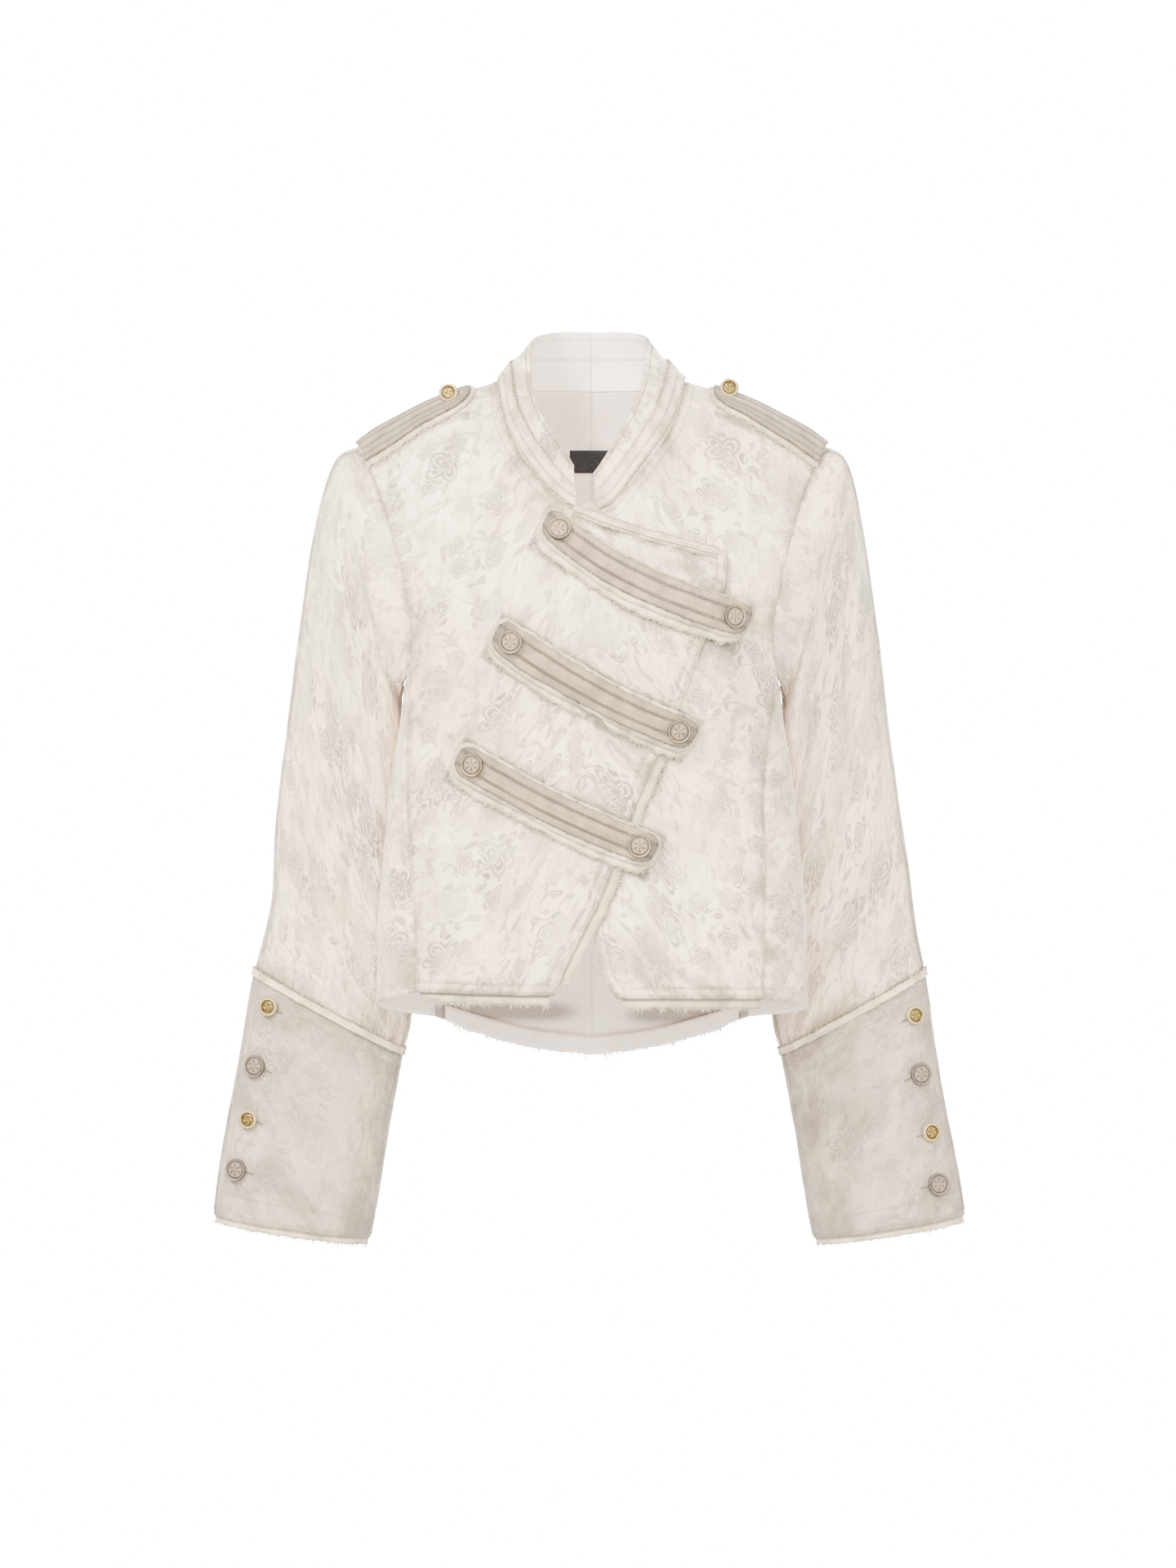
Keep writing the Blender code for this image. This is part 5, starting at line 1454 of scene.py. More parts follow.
def collar_point(turn, up):
    """The collar's outer side: turn runs round it from front edge to front edge, up from seam to top."""
    low = collar_base(turn)
    high = np.stack([smooth(COLLAR, "turn", axis, turn) for axis in ("x", "y", "z")], axis=1)
    flat = np.stack([(low + high)[:, 0] / 2, (low + high)[:, 1] / 2 - 0.01, 0 * turn], axis=1)
    up = np.asarray(up)[..., None] if np.ndim(up) else up
    return low + (high - low) * up + units(flat) * 0.0025 * np.sin(math.pi * up)


def collar_normal(turn, up):
    step = 0.004
    around = collar_point(np.minimum(turn + step, 1), up) - collar_point(np.maximum(turn - step, 0), up)
    rise = collar_point(turn, np.minimum(up + 0.05, 1)) - collar_point(turn, np.maximum(up - 0.05, 0))
    normal = units(np.cross(around, rise))
    away = collar_point(turn, up) - np.array((0, -0.01, 0.0))
    away[:, 2] = 0
    return normal * np.sign((normal * away).sum(axis=1))[:, None]


def make_collar():
    across = 110
    for name, first in (("right", 0.0), ("left", 0.5)):
        turns = np.linspace(first, first + 0.5, across)
        down = 31
        turn, up = np.tile(turns, down), np.repeat(np.linspace(-0.03, 1.0, down), across)
        normals = collar_normal(turn, up)
        base = collar_point(turn, up)
        wave = wander(base, 0.045, 71) * 0.6 * MM * ease(0.0, 0.3, up)
        band = 0.45 * MM * ease(0.90, 0.94, up) - 0.5 * MM * hill(up, 0.90, 0.02)
        outer = base + normals * (wave + band)[:, None]
        flat = np.stack([turn * 0.46, up * 0.045 + 0.9], axis=1)
        # Soiling towards the top edge, and thin painted shadow lines just above the binding and in the
        # stitched groove
        wear = np.exp(-(1 - up) / 0.12) * 0.6 + 0.22 + hill(up, 0.53, 0.045) * 1.3
        wear = wear + hill(up, 0.90, 0.02) * 0.9
        faces, looks = grid_faces(down, across), (LOOKS["cloth"], LOOKS["lining"])
        piece = cloth_piece("collar_" + name, outer, normals, faces, CLOTH, looks, flat, wear)
        keep(piece, "collar_" + name, "cloth")
        down, low, high = 17, 0.06, 0.50
        turn, up = np.tile(turns, down), np.repeat(np.linspace(low, high, down), across)
        rough = np.tile(ragged(across, 0.018, 73 + int(first * 10)), down)
        share = (up - low) / (high - low)
        up = up + rough * share**3
        normals = collar_normal(turn, up)
        groove = hill(share, 0.45, 0.09) * -0.8 * MM + 0.5 * MM
        swell = wander(collar_point(turn, up), 0.03, 75) * 0.25 * MM
        outer = collar_point(turn, up) + normals * (1.1 * MM + PLY + groove + swell)[:, None]
        flat = np.stack([turn * 0.46, share * 0.02], axis=1)
        # Painted shade in the binding's middle groove and along both its edges
        wear = 0.15 + 0.5 * np.abs(share - 0.5) + 1.35 * hill(share, 0.45, 0.06)
        wear = wear + 0.9 * np.exp(-share / 0.07) + 0.9 * np.exp(-(1 - share) / 0.07)
        node = "collar_binding_" + name
        grids = layer_piece(node, outer, normals, (down, across), PLY, "ply", flat, wear)
        raw_edge(node, grids, "end", 1.4 * MM)
        raw_edge(node + "_low", grids, "start", 1.8 * MM)


# Straps and epaulettes
HOLES = 5.6 * MM
STITCH_ROWS = []


def strap_point(row, share, off):
    """(x, z) at a share of a strap's length and a distance off its sagging middle line."""
    way = np.array((row["x1"] - row["x0"], row["z1"] - row["z0"]))
    along_it = way / np.linalg.norm(way)
    across = np.array((-along_it[1], along_it[0]))
    bend = row["sag"] * (4 * share * (1 - share))
    start = np.array((row["x0"], row["z0"]))
    return start + way * share[:, None] + across * (off - bend)[:, None]


def front_place(x, z, rise):
    """Points raised off the front at (x, z), and the ways out there."""
    q = to_flat(x, z)
    normal = torso_normal(x, q, False)
    return torso(x, q, False) + normal * rise[:, None], normal


def strap_layer(number, row, level, layer):
    """One layer of a diagonal strap: base, ply or braid."""
    length = math.dist((row["x0"], row["z0"]), (row["x1"], row["z1"]))
    past, kind = layer["past"], layer["name"]
    down, across = 131, {"base": 12, "ply": 10, "braid": 23}[kind]
    i, t = strip(down, across)
    where = -past + (length + 2 * past) * (0.45 * (0.5 - 0.5 * np.cos(math.pi * i)) + 0.55 * i)
    full = np.clip(np.minimum(where + past, length + past - where) / past, 0, 1)
    rounding = np.sqrt(np.maximum(1 - (1 - full) ** 2.6, 0)) * 0.72 + 0.28
    seed = 100 + number * 10 + level
    size = {"base": 1.3 * MM, "ply": 0.7 * MM, "braid": 0.35 * MM}[kind]
    top_edge = np.repeat(ragged(down, size, seed), across)
    low_edge = np.repeat(ragged(down, size, seed + 4), across)
    sway = np.sin(where * 55 + number * 2.1 + level) * (0.9 * MM if kind != "braid" else 0.35 * MM)
    off = (layer["above"] * (1 - t) - layer["below"] * t) * rounding
    off = off + top_edge * (1 - t) ** 4 + low_edge * t**4 + sway * t**2
    spot = strap_point(row, where / length, off)
    x, z = spot[:, 0], spot[:, 1]
    rise = top_lift(x, z) + layer["lift"] + layer["thick"]
    if kind == "braid":
        near = np.abs(off)
        ribs = -0.45 * MM * hill(near, HOLES, 1.0e-3)
        ribs += 0.30 * MM * hill(near, 0, 1.4e-3) - 0.5 * MM * ease(11.2 * MM, 12.6 * MM, near)
        rise = rise + ribs + np.sin(where * 120 + number) * 0.25 * MM
    else:
        swell = wander(np.stack([x, z, z], axis=1), 0.035, seed) * 0.35 * MM
        curl = -0.5 * MM * ease(0.7, 1.0, t) * (1 if kind == "base" else 0)
        rise = rise + np.clip(swell + curl, -0.7 * MM, 0.3 * MM)
    outer, normals = front_place(x, z, rise)
    flat = np.stack([where + 0.3 * number, off], axis=1)
    ends = 1 - np.clip(full, 0, 1)
    wear = np.clip(ends * 0.9 + (np.abs(t - 0.5) * 2) ** 14 * 0.7, 0, 1)
    node = f"strap_{kind}_{row['name']}"
    look = "braid" if kind == "braid" else "ply"
    grids = layer_piece(node, outer, normals, (down, across), layer["thick"], look, flat, wear)
    reach = {"base": 2.6 * MM, "ply": 1.3 * MM, "braid": 1.2 * MM}[kind]
    if kind == "base":
        raw_edge(node, grids, "low", reach)
    if kind != "ply":
        raw_edge(node + "_start", grids, "start", reach * 0.8)
        raw_edge(node + "_end", grids, "end", reach * 0.8)
    if kind == "braid":
        raw_edge(node + "_top", grids, "top", reach)
        raw_edge(node + "_low", grids, "low", reach)
        STITCH_ROWS.append(("braid_upper_" + row["name"], row, HOLES, layer))
        STITCH_ROWS.append(("braid_lower_" + row["name"], row, -HOLES, layer))


def make_straps():
    for number, row in enumerate(rows(STRAPS)):
        for level, layer in enumerate(rows(STRAP_LAYERS)):
            strap_layer(number, row, level, layer)


def shoulder_place(hand, out, q, rise):
    """Points over the shoulder: q is the distance before (or, below 0, behind) the shoulder line."""
    front = torso(hand * out, np.abs(q), False)
    rear = torso(hand * out, np.abs(q), True)
    out_front = torso_normal(hand * out, np.abs(q), False)
    out_rear = torso_normal(hand * out, np.abs(q), True)
    ahead = (q >= 0)[:, None]
    normal = np.where(ahead, out_front, out_rear)
    return np.where(ahead, front, rear) + normal * rise[:, None], normal


def epaulette_layer(hand, name, level, layer):
    """One layer of an epaulette: base or braid."""
    kind = layer["name"]
    down, across = 76, 34
    share, t = strip(down, across)
    seam = EPAULETTE_OUT - 2.6 * MM * np.maximum(t * 5 - 1.5, 0)
    out = seam + (EPAULETTE_IN - seam) * share
    out = out + layer["inset"] * (2 * share - 1) * (share > 0.5)
    end = np.minimum((1 - share) * 5.0, 1.0)
    narrow = (1 - (1 - EPAULETTE_TAPER) * share) * (0.35 + 0.65 * np.sqrt(1 - (1 - end) ** 2))
    reach = (layer["front"] + layer["rear"]) * t - layer["rear"]
    middle = (layer["front"] - layer["rear"]) / 2
    size = 1.3 * MM if kind == "base" else 0.5 * MM
    edge = np.repeat(ragged(down, size, 150 + level + hand), across) * t**5
    side = np.repeat(np.sin(np.arange(down) * 0.17 + hand) * 0.8 * MM, across) * t**3
    q = middle + (reach - middle) * narrow + edge + side
    q = q - 5 * MM * ease(0.25, 0.75, share) * t
    off = (t - 0.5) * (layer["front"] + layer["rear"])
    rise = np.full(len(q), layer["lift"] + layer["thick"])
    if kind == "braid":
        for line in (-0.0222, -0.0110, 0.0028, 0.0140):
            rise -= 0.4 * MM * hill(off, line, 1.0e-3)
        rise -= 0.5 * MM * ease(0.93, 1.0, np.abs(t - 0.5) * 2)
        rise += np.sin(out * 150) * 0.2 * MM
    else:
        rise -= 0.4 * MM * ease(0.8, 1.0, t)
    outer, normals = shoulder_place(hand, out, q, rise)
    flat = np.stack([out * 1.2, off + 4.0 * MM], axis=1)
    wear = np.clip(ease(0.8, 1.0, np.abs(t - 0.5) * 2) * 0.5 + ease(0.85, 1.0, share) * 0.6, 0, 1)
    if kind == "base":
        # Painted shadow on the base along the braid's edge, and painted shade along the base's own front edge
        wear = wear + 1.3 * hill(t, 0.87, 0.03) + 0.8 * np.exp(-(1 - t) / 0.03)
    node = f"epaulette_{kind}_{name}"
    look = "braid" if kind == "braid" else "ply"
    grids = layer_piece(node, outer, normals, (down, across), layer["thick"], look, flat, wear)
    long = 4.6 * MM if kind == "base" else 1.1 * MM
    raw_edge(node, grids, "low", long)
    raw_edge(node + "_end", grids, "end", long * 0.6)
    raw_edge(node + "_rear", grids, "top", long * 0.8)


def make_epaulettes():
    for hand, name in HANDS:
        for level, layer in enumerate(rows(EPAULETTE_LAYERS)):
            epaulette_layer(hand, name, level, layer)


def make_edge_ply():
    down, across = 110, 17
    i, t = strip(down, across)
    z = -0.285 + (-0.488 + 0.285) * i
    edge = np.repeat(ragged(down, 0.9 * MM, 171), across) * t**4
    x = edge_x(z) - EDGE_PLY_HELD + (EDGE_PLY_HELD + EDGE_PLY_SHOWS) * t + edge
    rise = overlap_lift(x) - CLOTH - 1.1 * MM + np.clip(np.sin(i * 60) * 0.3 * MM * t, -1, 0.0)
    outer, normals = front_place(x, z, rise)
    flat = np.stack([z, t * 0.019], axis=1)
    # A painted shadow line where the front's edge lies over the ply, and darker towards the raw edge
    wear = 0.15 + t**4 + 1.3 * hill(t, EDGE_PLY_HELD / (EDGE_PLY_HELD + EDGE_PLY_SHOWS), 0.07)
    node = "front_edge_ply"
    grids = layer_piece(node, outer, normals, (down, across), PLY, "ply", flat, wear)
    raw_edge(node, grids, "low", 3.2 * MM)


def make_tab_bindings():
    for node, top, low, rise_by, size, seed in (
        ("tab_binding_1", -2.0, 7.0, 1.2, 0.8, 201),
        ("tab_binding_2", -0.5, 4.5, 2.4, 0.5, 202),
    ):
        line = along(TAB_TOP, 1.5 * MM)
        line = along(line, reach_of(line)[-1] / 79)[:80]
        down, across = len(line), 8
        t = strip(down, across)[1]
        rough = np.repeat(ragged(down, size * MM, seed), across)
        low_rough = np.repeat(ragged(down, size * MM, seed + 4), across)
        spot = np.repeat(line, across, axis=0)
        drop = (top + (low - top) * t) * MM + rough * (1 - t) ** 3 + low_rough * t**3
        x, z = spot[:, 0] - drop * 0.27, spot[:, 1] - drop
        outer, normals = front_place(x, z, overlap_lift(x) + rise_by * MM + np.sin(x * 260) * 0.15 * MM)
        flat = np.stack([x, drop], axis=1)
        # Painted shade along both edges of each binding
        wear = 0.25 + 0.4 * np.abs(t - 0.5) + 1.1 * np.exp(-t / 0.1) + 1.1 * np.exp(-(1 - t) / 0.1)
        grids = layer_piece(node, outer, normals, (down, across), 1.0 * MM, "ply", flat, wear)
        raw_edge(node, grids, "low", 1.5 * MM)
        raw_edge(node + "_top", grids, "top", 1.2 * MM)


def make_hem_plies():
    for (hand, name), edge_table in zip(HANDS, (RIGHT_EDGE, LEFT_EDGE)):
        inner = column(edge_table, "x")[-1] * hand
        outside = abs(princess_line(hand, False)[-1][0])
        down, across = 80, 17
        i, t = strip(down, across)
        away = inner + 0.004 + (outside - inner - 0.006) * i
        edge = np.repeat(ragged(down, 1.3 * MM, 181 + hand), across) * t**4
        z = smooth(HEM, "out", name, np.abs(away)) + 8 * MM - 15 * MM * t + edge
        rise = lift_of(hand)(hand * away) - CLOTH - 1.1 * MM
        outer, normals = front_place(hand * away, z, rise)
        flat = np.stack([away, t * 0.015], axis=1)
        # Darker towards the raw edge, and a painted shadow line just below the front's hem
        wear = 0.25 + t**3 * 0.9 + 1.3 * hill(t, 0.56, 0.08)
        node = "hem_ply_" + name
        grids = layer_piece(node, outer, normals, (down, across), PLY, "ply", flat, wear)
        raw_edge(node, grids, "low", 3.4 * MM)


def make_inside_strips():
    """The facing along the back hem and the bare label, both on the back's inner side."""
    for node, down, across, thick, look in (
        ("back_hem_facing", 100, 6, PLY, "lining"),
        ("neck_label", 12, 8, 0.8 * MM, "label"),
    ):
        i, t = strip(down, across)
        if look == "label":
            x, z = -0.019 + 0.033 * i, -0.042 - 0.019 * t
        else:
            x = -0.126 + 0.252 * i
            past_hem = 3 * MM * ease(0.126, 0.105, np.abs(x)) + np.repeat(ragged(down, 0.7 * MM, 191), across)
            z = smooth(HEM, "out", "back", np.abs(x)) + 0.013 * (1 - t) - past_hem * t
        q = to_flat(x, z)
        normals = torso_normal(x, q, True)
        outer = torso(x, q, True) - normals * (CLOTH + 1.4 * MM)
        flat = np.stack([x, q], axis=1)
        grids = layer_piece(node, outer, normals, (down, across), thick, look, flat, None)
        if look == "lining":
            raw_edge(node, grids, "low", 4.2 * MM)


# Buttons
BUTTON_SIZES = {"large": 19.0 * MM, "small": 16.2 * MM}


def relief(kind, radius, turn):
    """Height of a button's face, radius 0 to 1: raised rim, rope ring and a small rosette."""
    if kind == "large":
        rim = 2.1 * ease(0.80, 0.88, radius) * (1 - ease(0.97, 1.0, radius)) + 1.4 * ease(0.95, 1.0, radius)
        well = 1.45 * (1 - ease(0.78, 0.86, radius))
        rope = 0.22 * hill(radius, 0.60, 0.05) * (1 + 0.6 * np.sin(turn * 26))
        petals = 0.42 * ease(0.52, 0.40, radius) * (0.45 + 0.55 * np.abs(np.cos(turn * 3)))
        petals = petals * ease(0.0, 0.2, radius)
        heart = 0.5 * hill(radius, 0, 0.12)
        return (rim + well + rope + petals + heart) * MM
    rim = 2.2 * ease(0.60, 0.72, radius) * (1 - 0.75 * ease(0.82, 1.0, radius))
    well = 1.1 * (1 - ease(0.60, 0.70, radius))
    leaf = 0.5 * ease(0.58, 0.46, radius) * (0.4 + 0.6 * np.abs(np.cos(turn * 2.5 + radius * 5)))
    heart = 0.35 * hill(radius, 0, 0.10)
    return (rim + well + leaf * ease(0.0, 0.18, radius) + heart) * MM


def button_dirt_and_shade(kind, radius, turn):
    """Dirt in the low places of a button's face, and painted shade on its outer edge, 0 to 1."""
    if kind == "large":
        # Dirt in the well ring, and painted shade on the outer edge
        low = hill(radius, 0.75, 0.09) + ease(0.90, 0.98, radius)
        centre = (1 - np.abs(np.cos(turn * 3))) * 0.9 * ease(0.62, 0.45, radius)
        centre = centre + 0.5 * (0.5 - 0.5 * np.sin(turn * 26)) * hill(radius, 0.60, 0.06)
    else:
        # Dirt in the ring round the gold centre, and painted shade on the outer edge
        low = 0.85 * hill(radius, 0.62, 0.07) + ease(0.90, 1.0, radius)
        centre = 0.8 * (1 - np.abs(np.cos(turn * 2.5 + radius * 5))) * ease(0.6, 0.45, radius)
    return np.clip(low + centre, 0, 1)


def button(node, seat, normal, kind):
    """A turned button with its shank on the seat."""
    size = BUTTON_SIZES[kind]
    around, steps, shank = 48, 24, 1.4 * MM
    axis = units(np.array(normal, float))
    across = units(np.cross(axis, (0.0, 0.0, 1.0)))
    up = np.cross(axis, across)
    turn = np.linspace(0, 2 * math.pi, around, endpoint=False)
    spoke = across * np.cos(turn)[:, None] + up * np.sin(turn)[:, None]
    profile = [(2.6 * MM, 0.0), (2.6 * MM, shank)]
    profile += [(size * 0.44, shank + 0.1 * MM), (size * 0.495, shank + 0.5 * MM)]
    circles = [seat + axis * high + spoke * wide for wide, high in profile]
    # Seat, shank and underside are set to 0.6, darker than most of the face
    dirt_and_shade = [np.full(around, 0.6)] * 4
    for radius in np.linspace(1.0, 0.03, steps):
        high = relief(kind, radius, turn) + shank + 0.35 * MM
        circles.append(seat + axis * high[:, None] + spoke * (radius * size / 2))
        dirt_and_shade.append(button_dirt_and_shade(kind, radius, turn))
    points = np.concatenate([[seat], *circles, [circles[-1].mean(axis=0)]])
    count = len(circles)
    faces = [[0, 1 + (k + 1) % around, 1 + k] for k in range(around)]
    faces += [[a + 1 for a in face] for face in grid_faces(count, around, True)]
    last = 1 + (count - 1) * around
    faces += [[last + k, last + (k + 1) % around, len(points) - 1] for k in range(around)]
    large = (LOOKS["pewter" if "cuff" in node else "champagne"],)
    looks = large if kind == "large" else (LOOKS["cream_ring"], LOOKS["gold"])
    obj = made(node + "_turned", points, faces, looks)
    a, b, c = (points[[face[corner] for face in faces[-around:]]] for corner in range(3))
    if (np.cross(b - a, c - a) @ axis).sum() < 0:
        obj.data.flip_normals()
    if kind == "small":
        gold_from = around * (4 + int(steps * 0.30))
        picked = [1 if number >= gold_from else 0 for number in range(len(faces))]
        obj.data.polygons.foreach_set("material_index", picked)
    note_soil_and_shade(obj, np.concatenate([[0.6], *dirt_and_shade, [0.3]]))
    return keep(obj, node, kind + "_button")


CUFF_SPOTS = {}


def make_buttons():
    for row in rows(STRAPS):
        for number, share in ((1, 0.0), (2, 1.0)):
            spot = strap_point(row, np.array([share]), np.array([0.0]))
            rise = top_lift(spot[:, 0], spot[:, 1]) + 4.2 * MM + 1.8 * MM + 0.8 * MM
            seat, normal = front_place(spot[:, 0], spot[:, 1], rise)
            button(f"button_strap_{row['name']}_{number}", seat[0], normal[0], "large")
    for hand, name in HANDS:
        out, q = (0.116, 27 * MM) if hand < 0 else (0.111, 20 * MM)
        rise = np.array([2.8 * MM + 1.8 * MM + 2.2 * MM])
        seat, normal = shoulder_place(hand, np.array([out]), np.array([q]), rise)
        leaning = units(normal[0] + np.array((0.0, -3.2, 0.0)))
        button("button_epaulette_" + name, seat[0], leaning, "small")
        outer, normals = TUBES["cuff_" + name]
        for row in rows(CUFF_BUTTONS):
            x, z = hand * row[name + "_x"], row[name + "_z"]
            half = outer[:, : TURNS // 2]
            miss = np.hypot(half[..., 0] - x, half[..., 2] - z)
            i, k = np.unravel_index(np.argmin(miss), miss.shape)
            kind = row["name"].split("_")[1]
            CUFF_SPOTS[f"{name}_{row['name']}"] = (i, k, kind)
            facing = units(normals[i, k] + np.array((0.0, -0.45, 0.0)))
            button(f"button_cuff_{name}_{row['name']}", outer[i, k] + normals[i, k] * 1.6 * MM, facing, kind)


# Stitches and frayed threads, repeated along lines
def repeater():
    """A node group that stands a unit shape on every point of a line, turned along it."""
    group = bpy.data.node_groups.new("repeat_along", "GeometryNodeTree")
    for name, kind in (
        ("Points", "NodeSocketGeometry"),
        ("Unit", "NodeSocketObject"),
        ("Twist", "NodeSocketFloat"),
        ("Seed", "NodeSocketInt"),
        ("Look", "NodeSocketMaterial"),
    ):
        group.interface.new_socket(name, in_out="INPUT", socket_type=kind)
    group.interface.new_socket("Result", in_out="OUTPUT", socket_type="NodeSocketGeometry")

    def node(kind, settings=None, **links):
        new = group.nodes.new(kind)
        for key, value in (settings or {}).items():
            setattr(new, key, value)
        for key, value in links.items():
            if isinstance(value, bpy.types.NodeSocket):
                group.links.new(value, new.inputs[key])
            else:
                new.inputs[key].default_value = value
        return new

    given = node("NodeGroupInput").outputs
    vector = {"data_type": "FLOAT_VECTOR"}
    noted = [node("GeometryNodeInputNamedAttribute", vector, Name=name) for name in ("way", "out", "size")]
    way, out, size = (one.outputs[0] for one in noted)
    turned = node("FunctionNodeAlignRotationToVector", {"axis": "X"}, Vector=way).outputs[0]
    settings = {"axis": "Z", "pivot_axis": "X"}
    upright = node("FunctionNodeAlignRotationToVector", settings, Rotation=turned, Vector=out).outputs[0]
    twist = node("FunctionNodeRandomValue", {"data_type": "FLOAT"}, Seed=given["Seed"])
    low = node("ShaderNodeMath", {"operation": "MULTIPLY"})
    low.inputs[1].default_value = -1.0
    about = node("ShaderNodeCombineXYZ")
    for start, end in (
        (given["Twist"], low.inputs[0]),
        (low.outputs[0], twist.inputs[2]),
        (given["Twist"], twist.inputs[3]),
        (twist.outputs[1], about.inputs[2]),
    ):
        group.links.new(start, end)
    spin = node("FunctionNodeEulerToRotation", Euler=about.outputs[0])
    both = node("FunctionNodeRotateRotation", {"rotation_space": "LOCAL"})
    group.links.new(upright, both.inputs[0])
    group.links.new(spin.outputs[0], both.inputs[1])
    shape = node("GeometryNodeObjectInfo", {"transform_space": "ORIGINAL"}, Object=given["Unit"])
    stood = node(
        "GeometryNodeInstanceOnPoints",
        Points=given["Points"],
        Instance=shape.outputs["Geometry"],
        Rotation=both.outputs[0],
        Scale=size,
    )
    real = node("GeometryNodeRealizeInstances", Geometry=stood.outputs[0])
    dressed = node("GeometryNodeSetMaterial", Geometry=real.outputs[0], Material=given["Look"])
    node("NodeGroupOutput", Result=dressed.outputs[0])
    return group


REPEATER = repeater()


def unit_shape(name, outline, sides):
    """A thin tube along X through outline's points (x, z, radius), closed at both ends."""
    points, faces = [], []
    for x, z, radius in outline:
        for k in range(sides):
            angle = 2 * math.pi * k / sides
            points.append((x, math.cos(angle) * radius, z + math.sin(angle) * radius))
    count = len(outline)
    faces = [list(reversed(face)) for face in grid_faces(count, sides, True)]
    faces += [list(range(sides)), list(reversed(range((count - 1) * sides, count * sides)))]
    mesh = bpy.data.meshes.new(name)
    mesh.from_pydata(points, [], faces)
    mesh.update()
    mesh.shade_smooth()
    return bpy.data.objects.new(name, mesh)


STITCH = unit_shape(
    "stitch_shape", ((-0.5, -0.16, 0.06), (-0.3, 0.02, 0.13), (0.3, 0.02, 0.13), (0.5, -0.16, 0.06)), 5
)
THREAD = unit_shape(
    "thread_shape", ((-0.3, -0.1, 0.05), (0.3, 0.05, 0.05), (0.7, -0.05, 0.04), (1.0, -0.2, 0.02)), 3
)
THREAD_BENT = unit_shape(
    "bent_thread_shape", ((-0.3, -0.1, 0.05), (0.25, 0.12, 0.05), (0.6, 0.05, 0.04), (0.8, -0.25, 0.02)), 3
)


def repeat(name, points, ways, outs, sizes, unit, twist, seed, look):
    """A plain mesh of unit shapes at points, made once by the node group."""
    mesh = bpy.data.meshes.new(name + "_points")
    mesh.from_pydata([tuple(map(float, p)) for p in points], [], [])
    for key, values in (("way", ways), ("out", outs), ("size", sizes)):
        note = mesh.attributes.new(key, "FLOAT_VECTOR", "POINT")
        note.data.foreach_set("vector", np.array(values, np.float32).ravel())
    line = bpy.data.objects.new(name + "_points", mesh)
    bpy.context.collection.objects.link(line)
    modifier = line.modifiers.new("repeat", "NODES")
    modifier.node_group = REPEATER
    values = {"Unit": unit, "Twist": twist, "Seed": seed, "Look": look}
    for item in REPEATER.interface.items_tree:
        if item.in_out == "INPUT" and item.name in values:
            modifier[item.identifier] = values[item.name]
    graph = bpy.context.evaluated_depsgraph_get()
    graph.update()
    plain = bpy.data.meshes.new_from_object(line.evaluated_get(graph))
    plain.name = name
    line.modifiers.clear()
    bpy.data.objects.remove(line)
    bpy.data.meshes.remove(mesh)
    if not plain.materials:
        plain.materials.append(look)
    obj = bpy.data.objects.new(name, plain)
    bpy.context.collection.objects.link(obj)
    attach(obj, "root")
    return obj


def read_along(values, reached, at):
    """A line's values at other lengths along it."""
    return np.stack([np.interp(at, reached, values[:, k]) for k in range(3)], axis=1)


def fray(name, line, ways, outs, reach, closed, spacing=0.75 * MM, look="fray"):
    """Loose threads past a raw edge, uneven in length, spacing and lie."""
    rng = np.random.default_rng(abs(hash_of(name)))
    if closed:
        line, ways, outs = (np.concatenate([v, v[:1]]) for v in (line, ways, outs))
    reached = reach_of(line)
    count = max(3, int(reached[-1] / spacing))
    at = np.sort(rng.uniform(0, reached[-1], count))
    spots, way, out = (read_along(values, reached, at) for values in (line, ways, outs))
    way, out = units(way), units(out)
    slide = units(np.gradient(spots, axis=0) + 1e-9)
    way = units(way + slide * rng.normal(size=(count, 1)) * 0.55 + out * rng.normal(size=(count, 1)) * 0.12)
    bunch = 0.55 + 0.45 * np.sin(at * 2 * math.pi / 0.013 + 2 * np.sin(at * 160))
    long = reach * np.clip(rng.gamma(2.2, 0.42, count), 0.25, 2.0) * (0.55 + 0.7 * bunch)
    sizes = np.stack([long, np.full(count, 5.6 * MM), np.full(count, 4.4 * MM)], axis=1)
    half = count // 2
    order = rng.permutation(count)
    for tail, unit, picks in (("a", THREAD, order[:half]), ("b", THREAD_BENT, order[half:])):
        spot = spots[picks] - out[picks] * 0.35 * MM
        label = f"fray_{name}_{tail}"
        repeat(label, spot, way[picks], out[picks], sizes[picks], unit, 0.35, 3, LOOKS[look])


def hash_of(name):
    """A steady number from a name."""
    total = 7
    for letter in name:
        total = (total * 31 + ord(letter)) % 1000003
    return total


def sew(name, line, outs, pitch=2.7 * MM, long=2.1 * MM, look="thread", slot_name="cloth", slant=0, off=0):
    """A row of stitches along a line lying on the cloth."""
    line, outs = np.array(line), np.array(outs)
    reached = reach_of(line)
    at = np.arange(pitch / 2, reached[-1], pitch)
    if len(at) < 2:
        return
    spots, out = read_along(line, reached, at), units(read_along(outs, reached, at))
    way = units(np.gradient(spots, axis=0))
    side = np.cross(out, way)
    way = units(way * math.cos(slant) + side * math.sin(slant))
    sizes = np.full((len(at), 3), 1.0) * np.array((long, 2.6 * MM, 2.2 * MM))
    spots = spots + side * off + out * 0.12 * MM
    repeat(name, spots, way, out, sizes, STITCH, 0.06, 5, LOOKS[look])


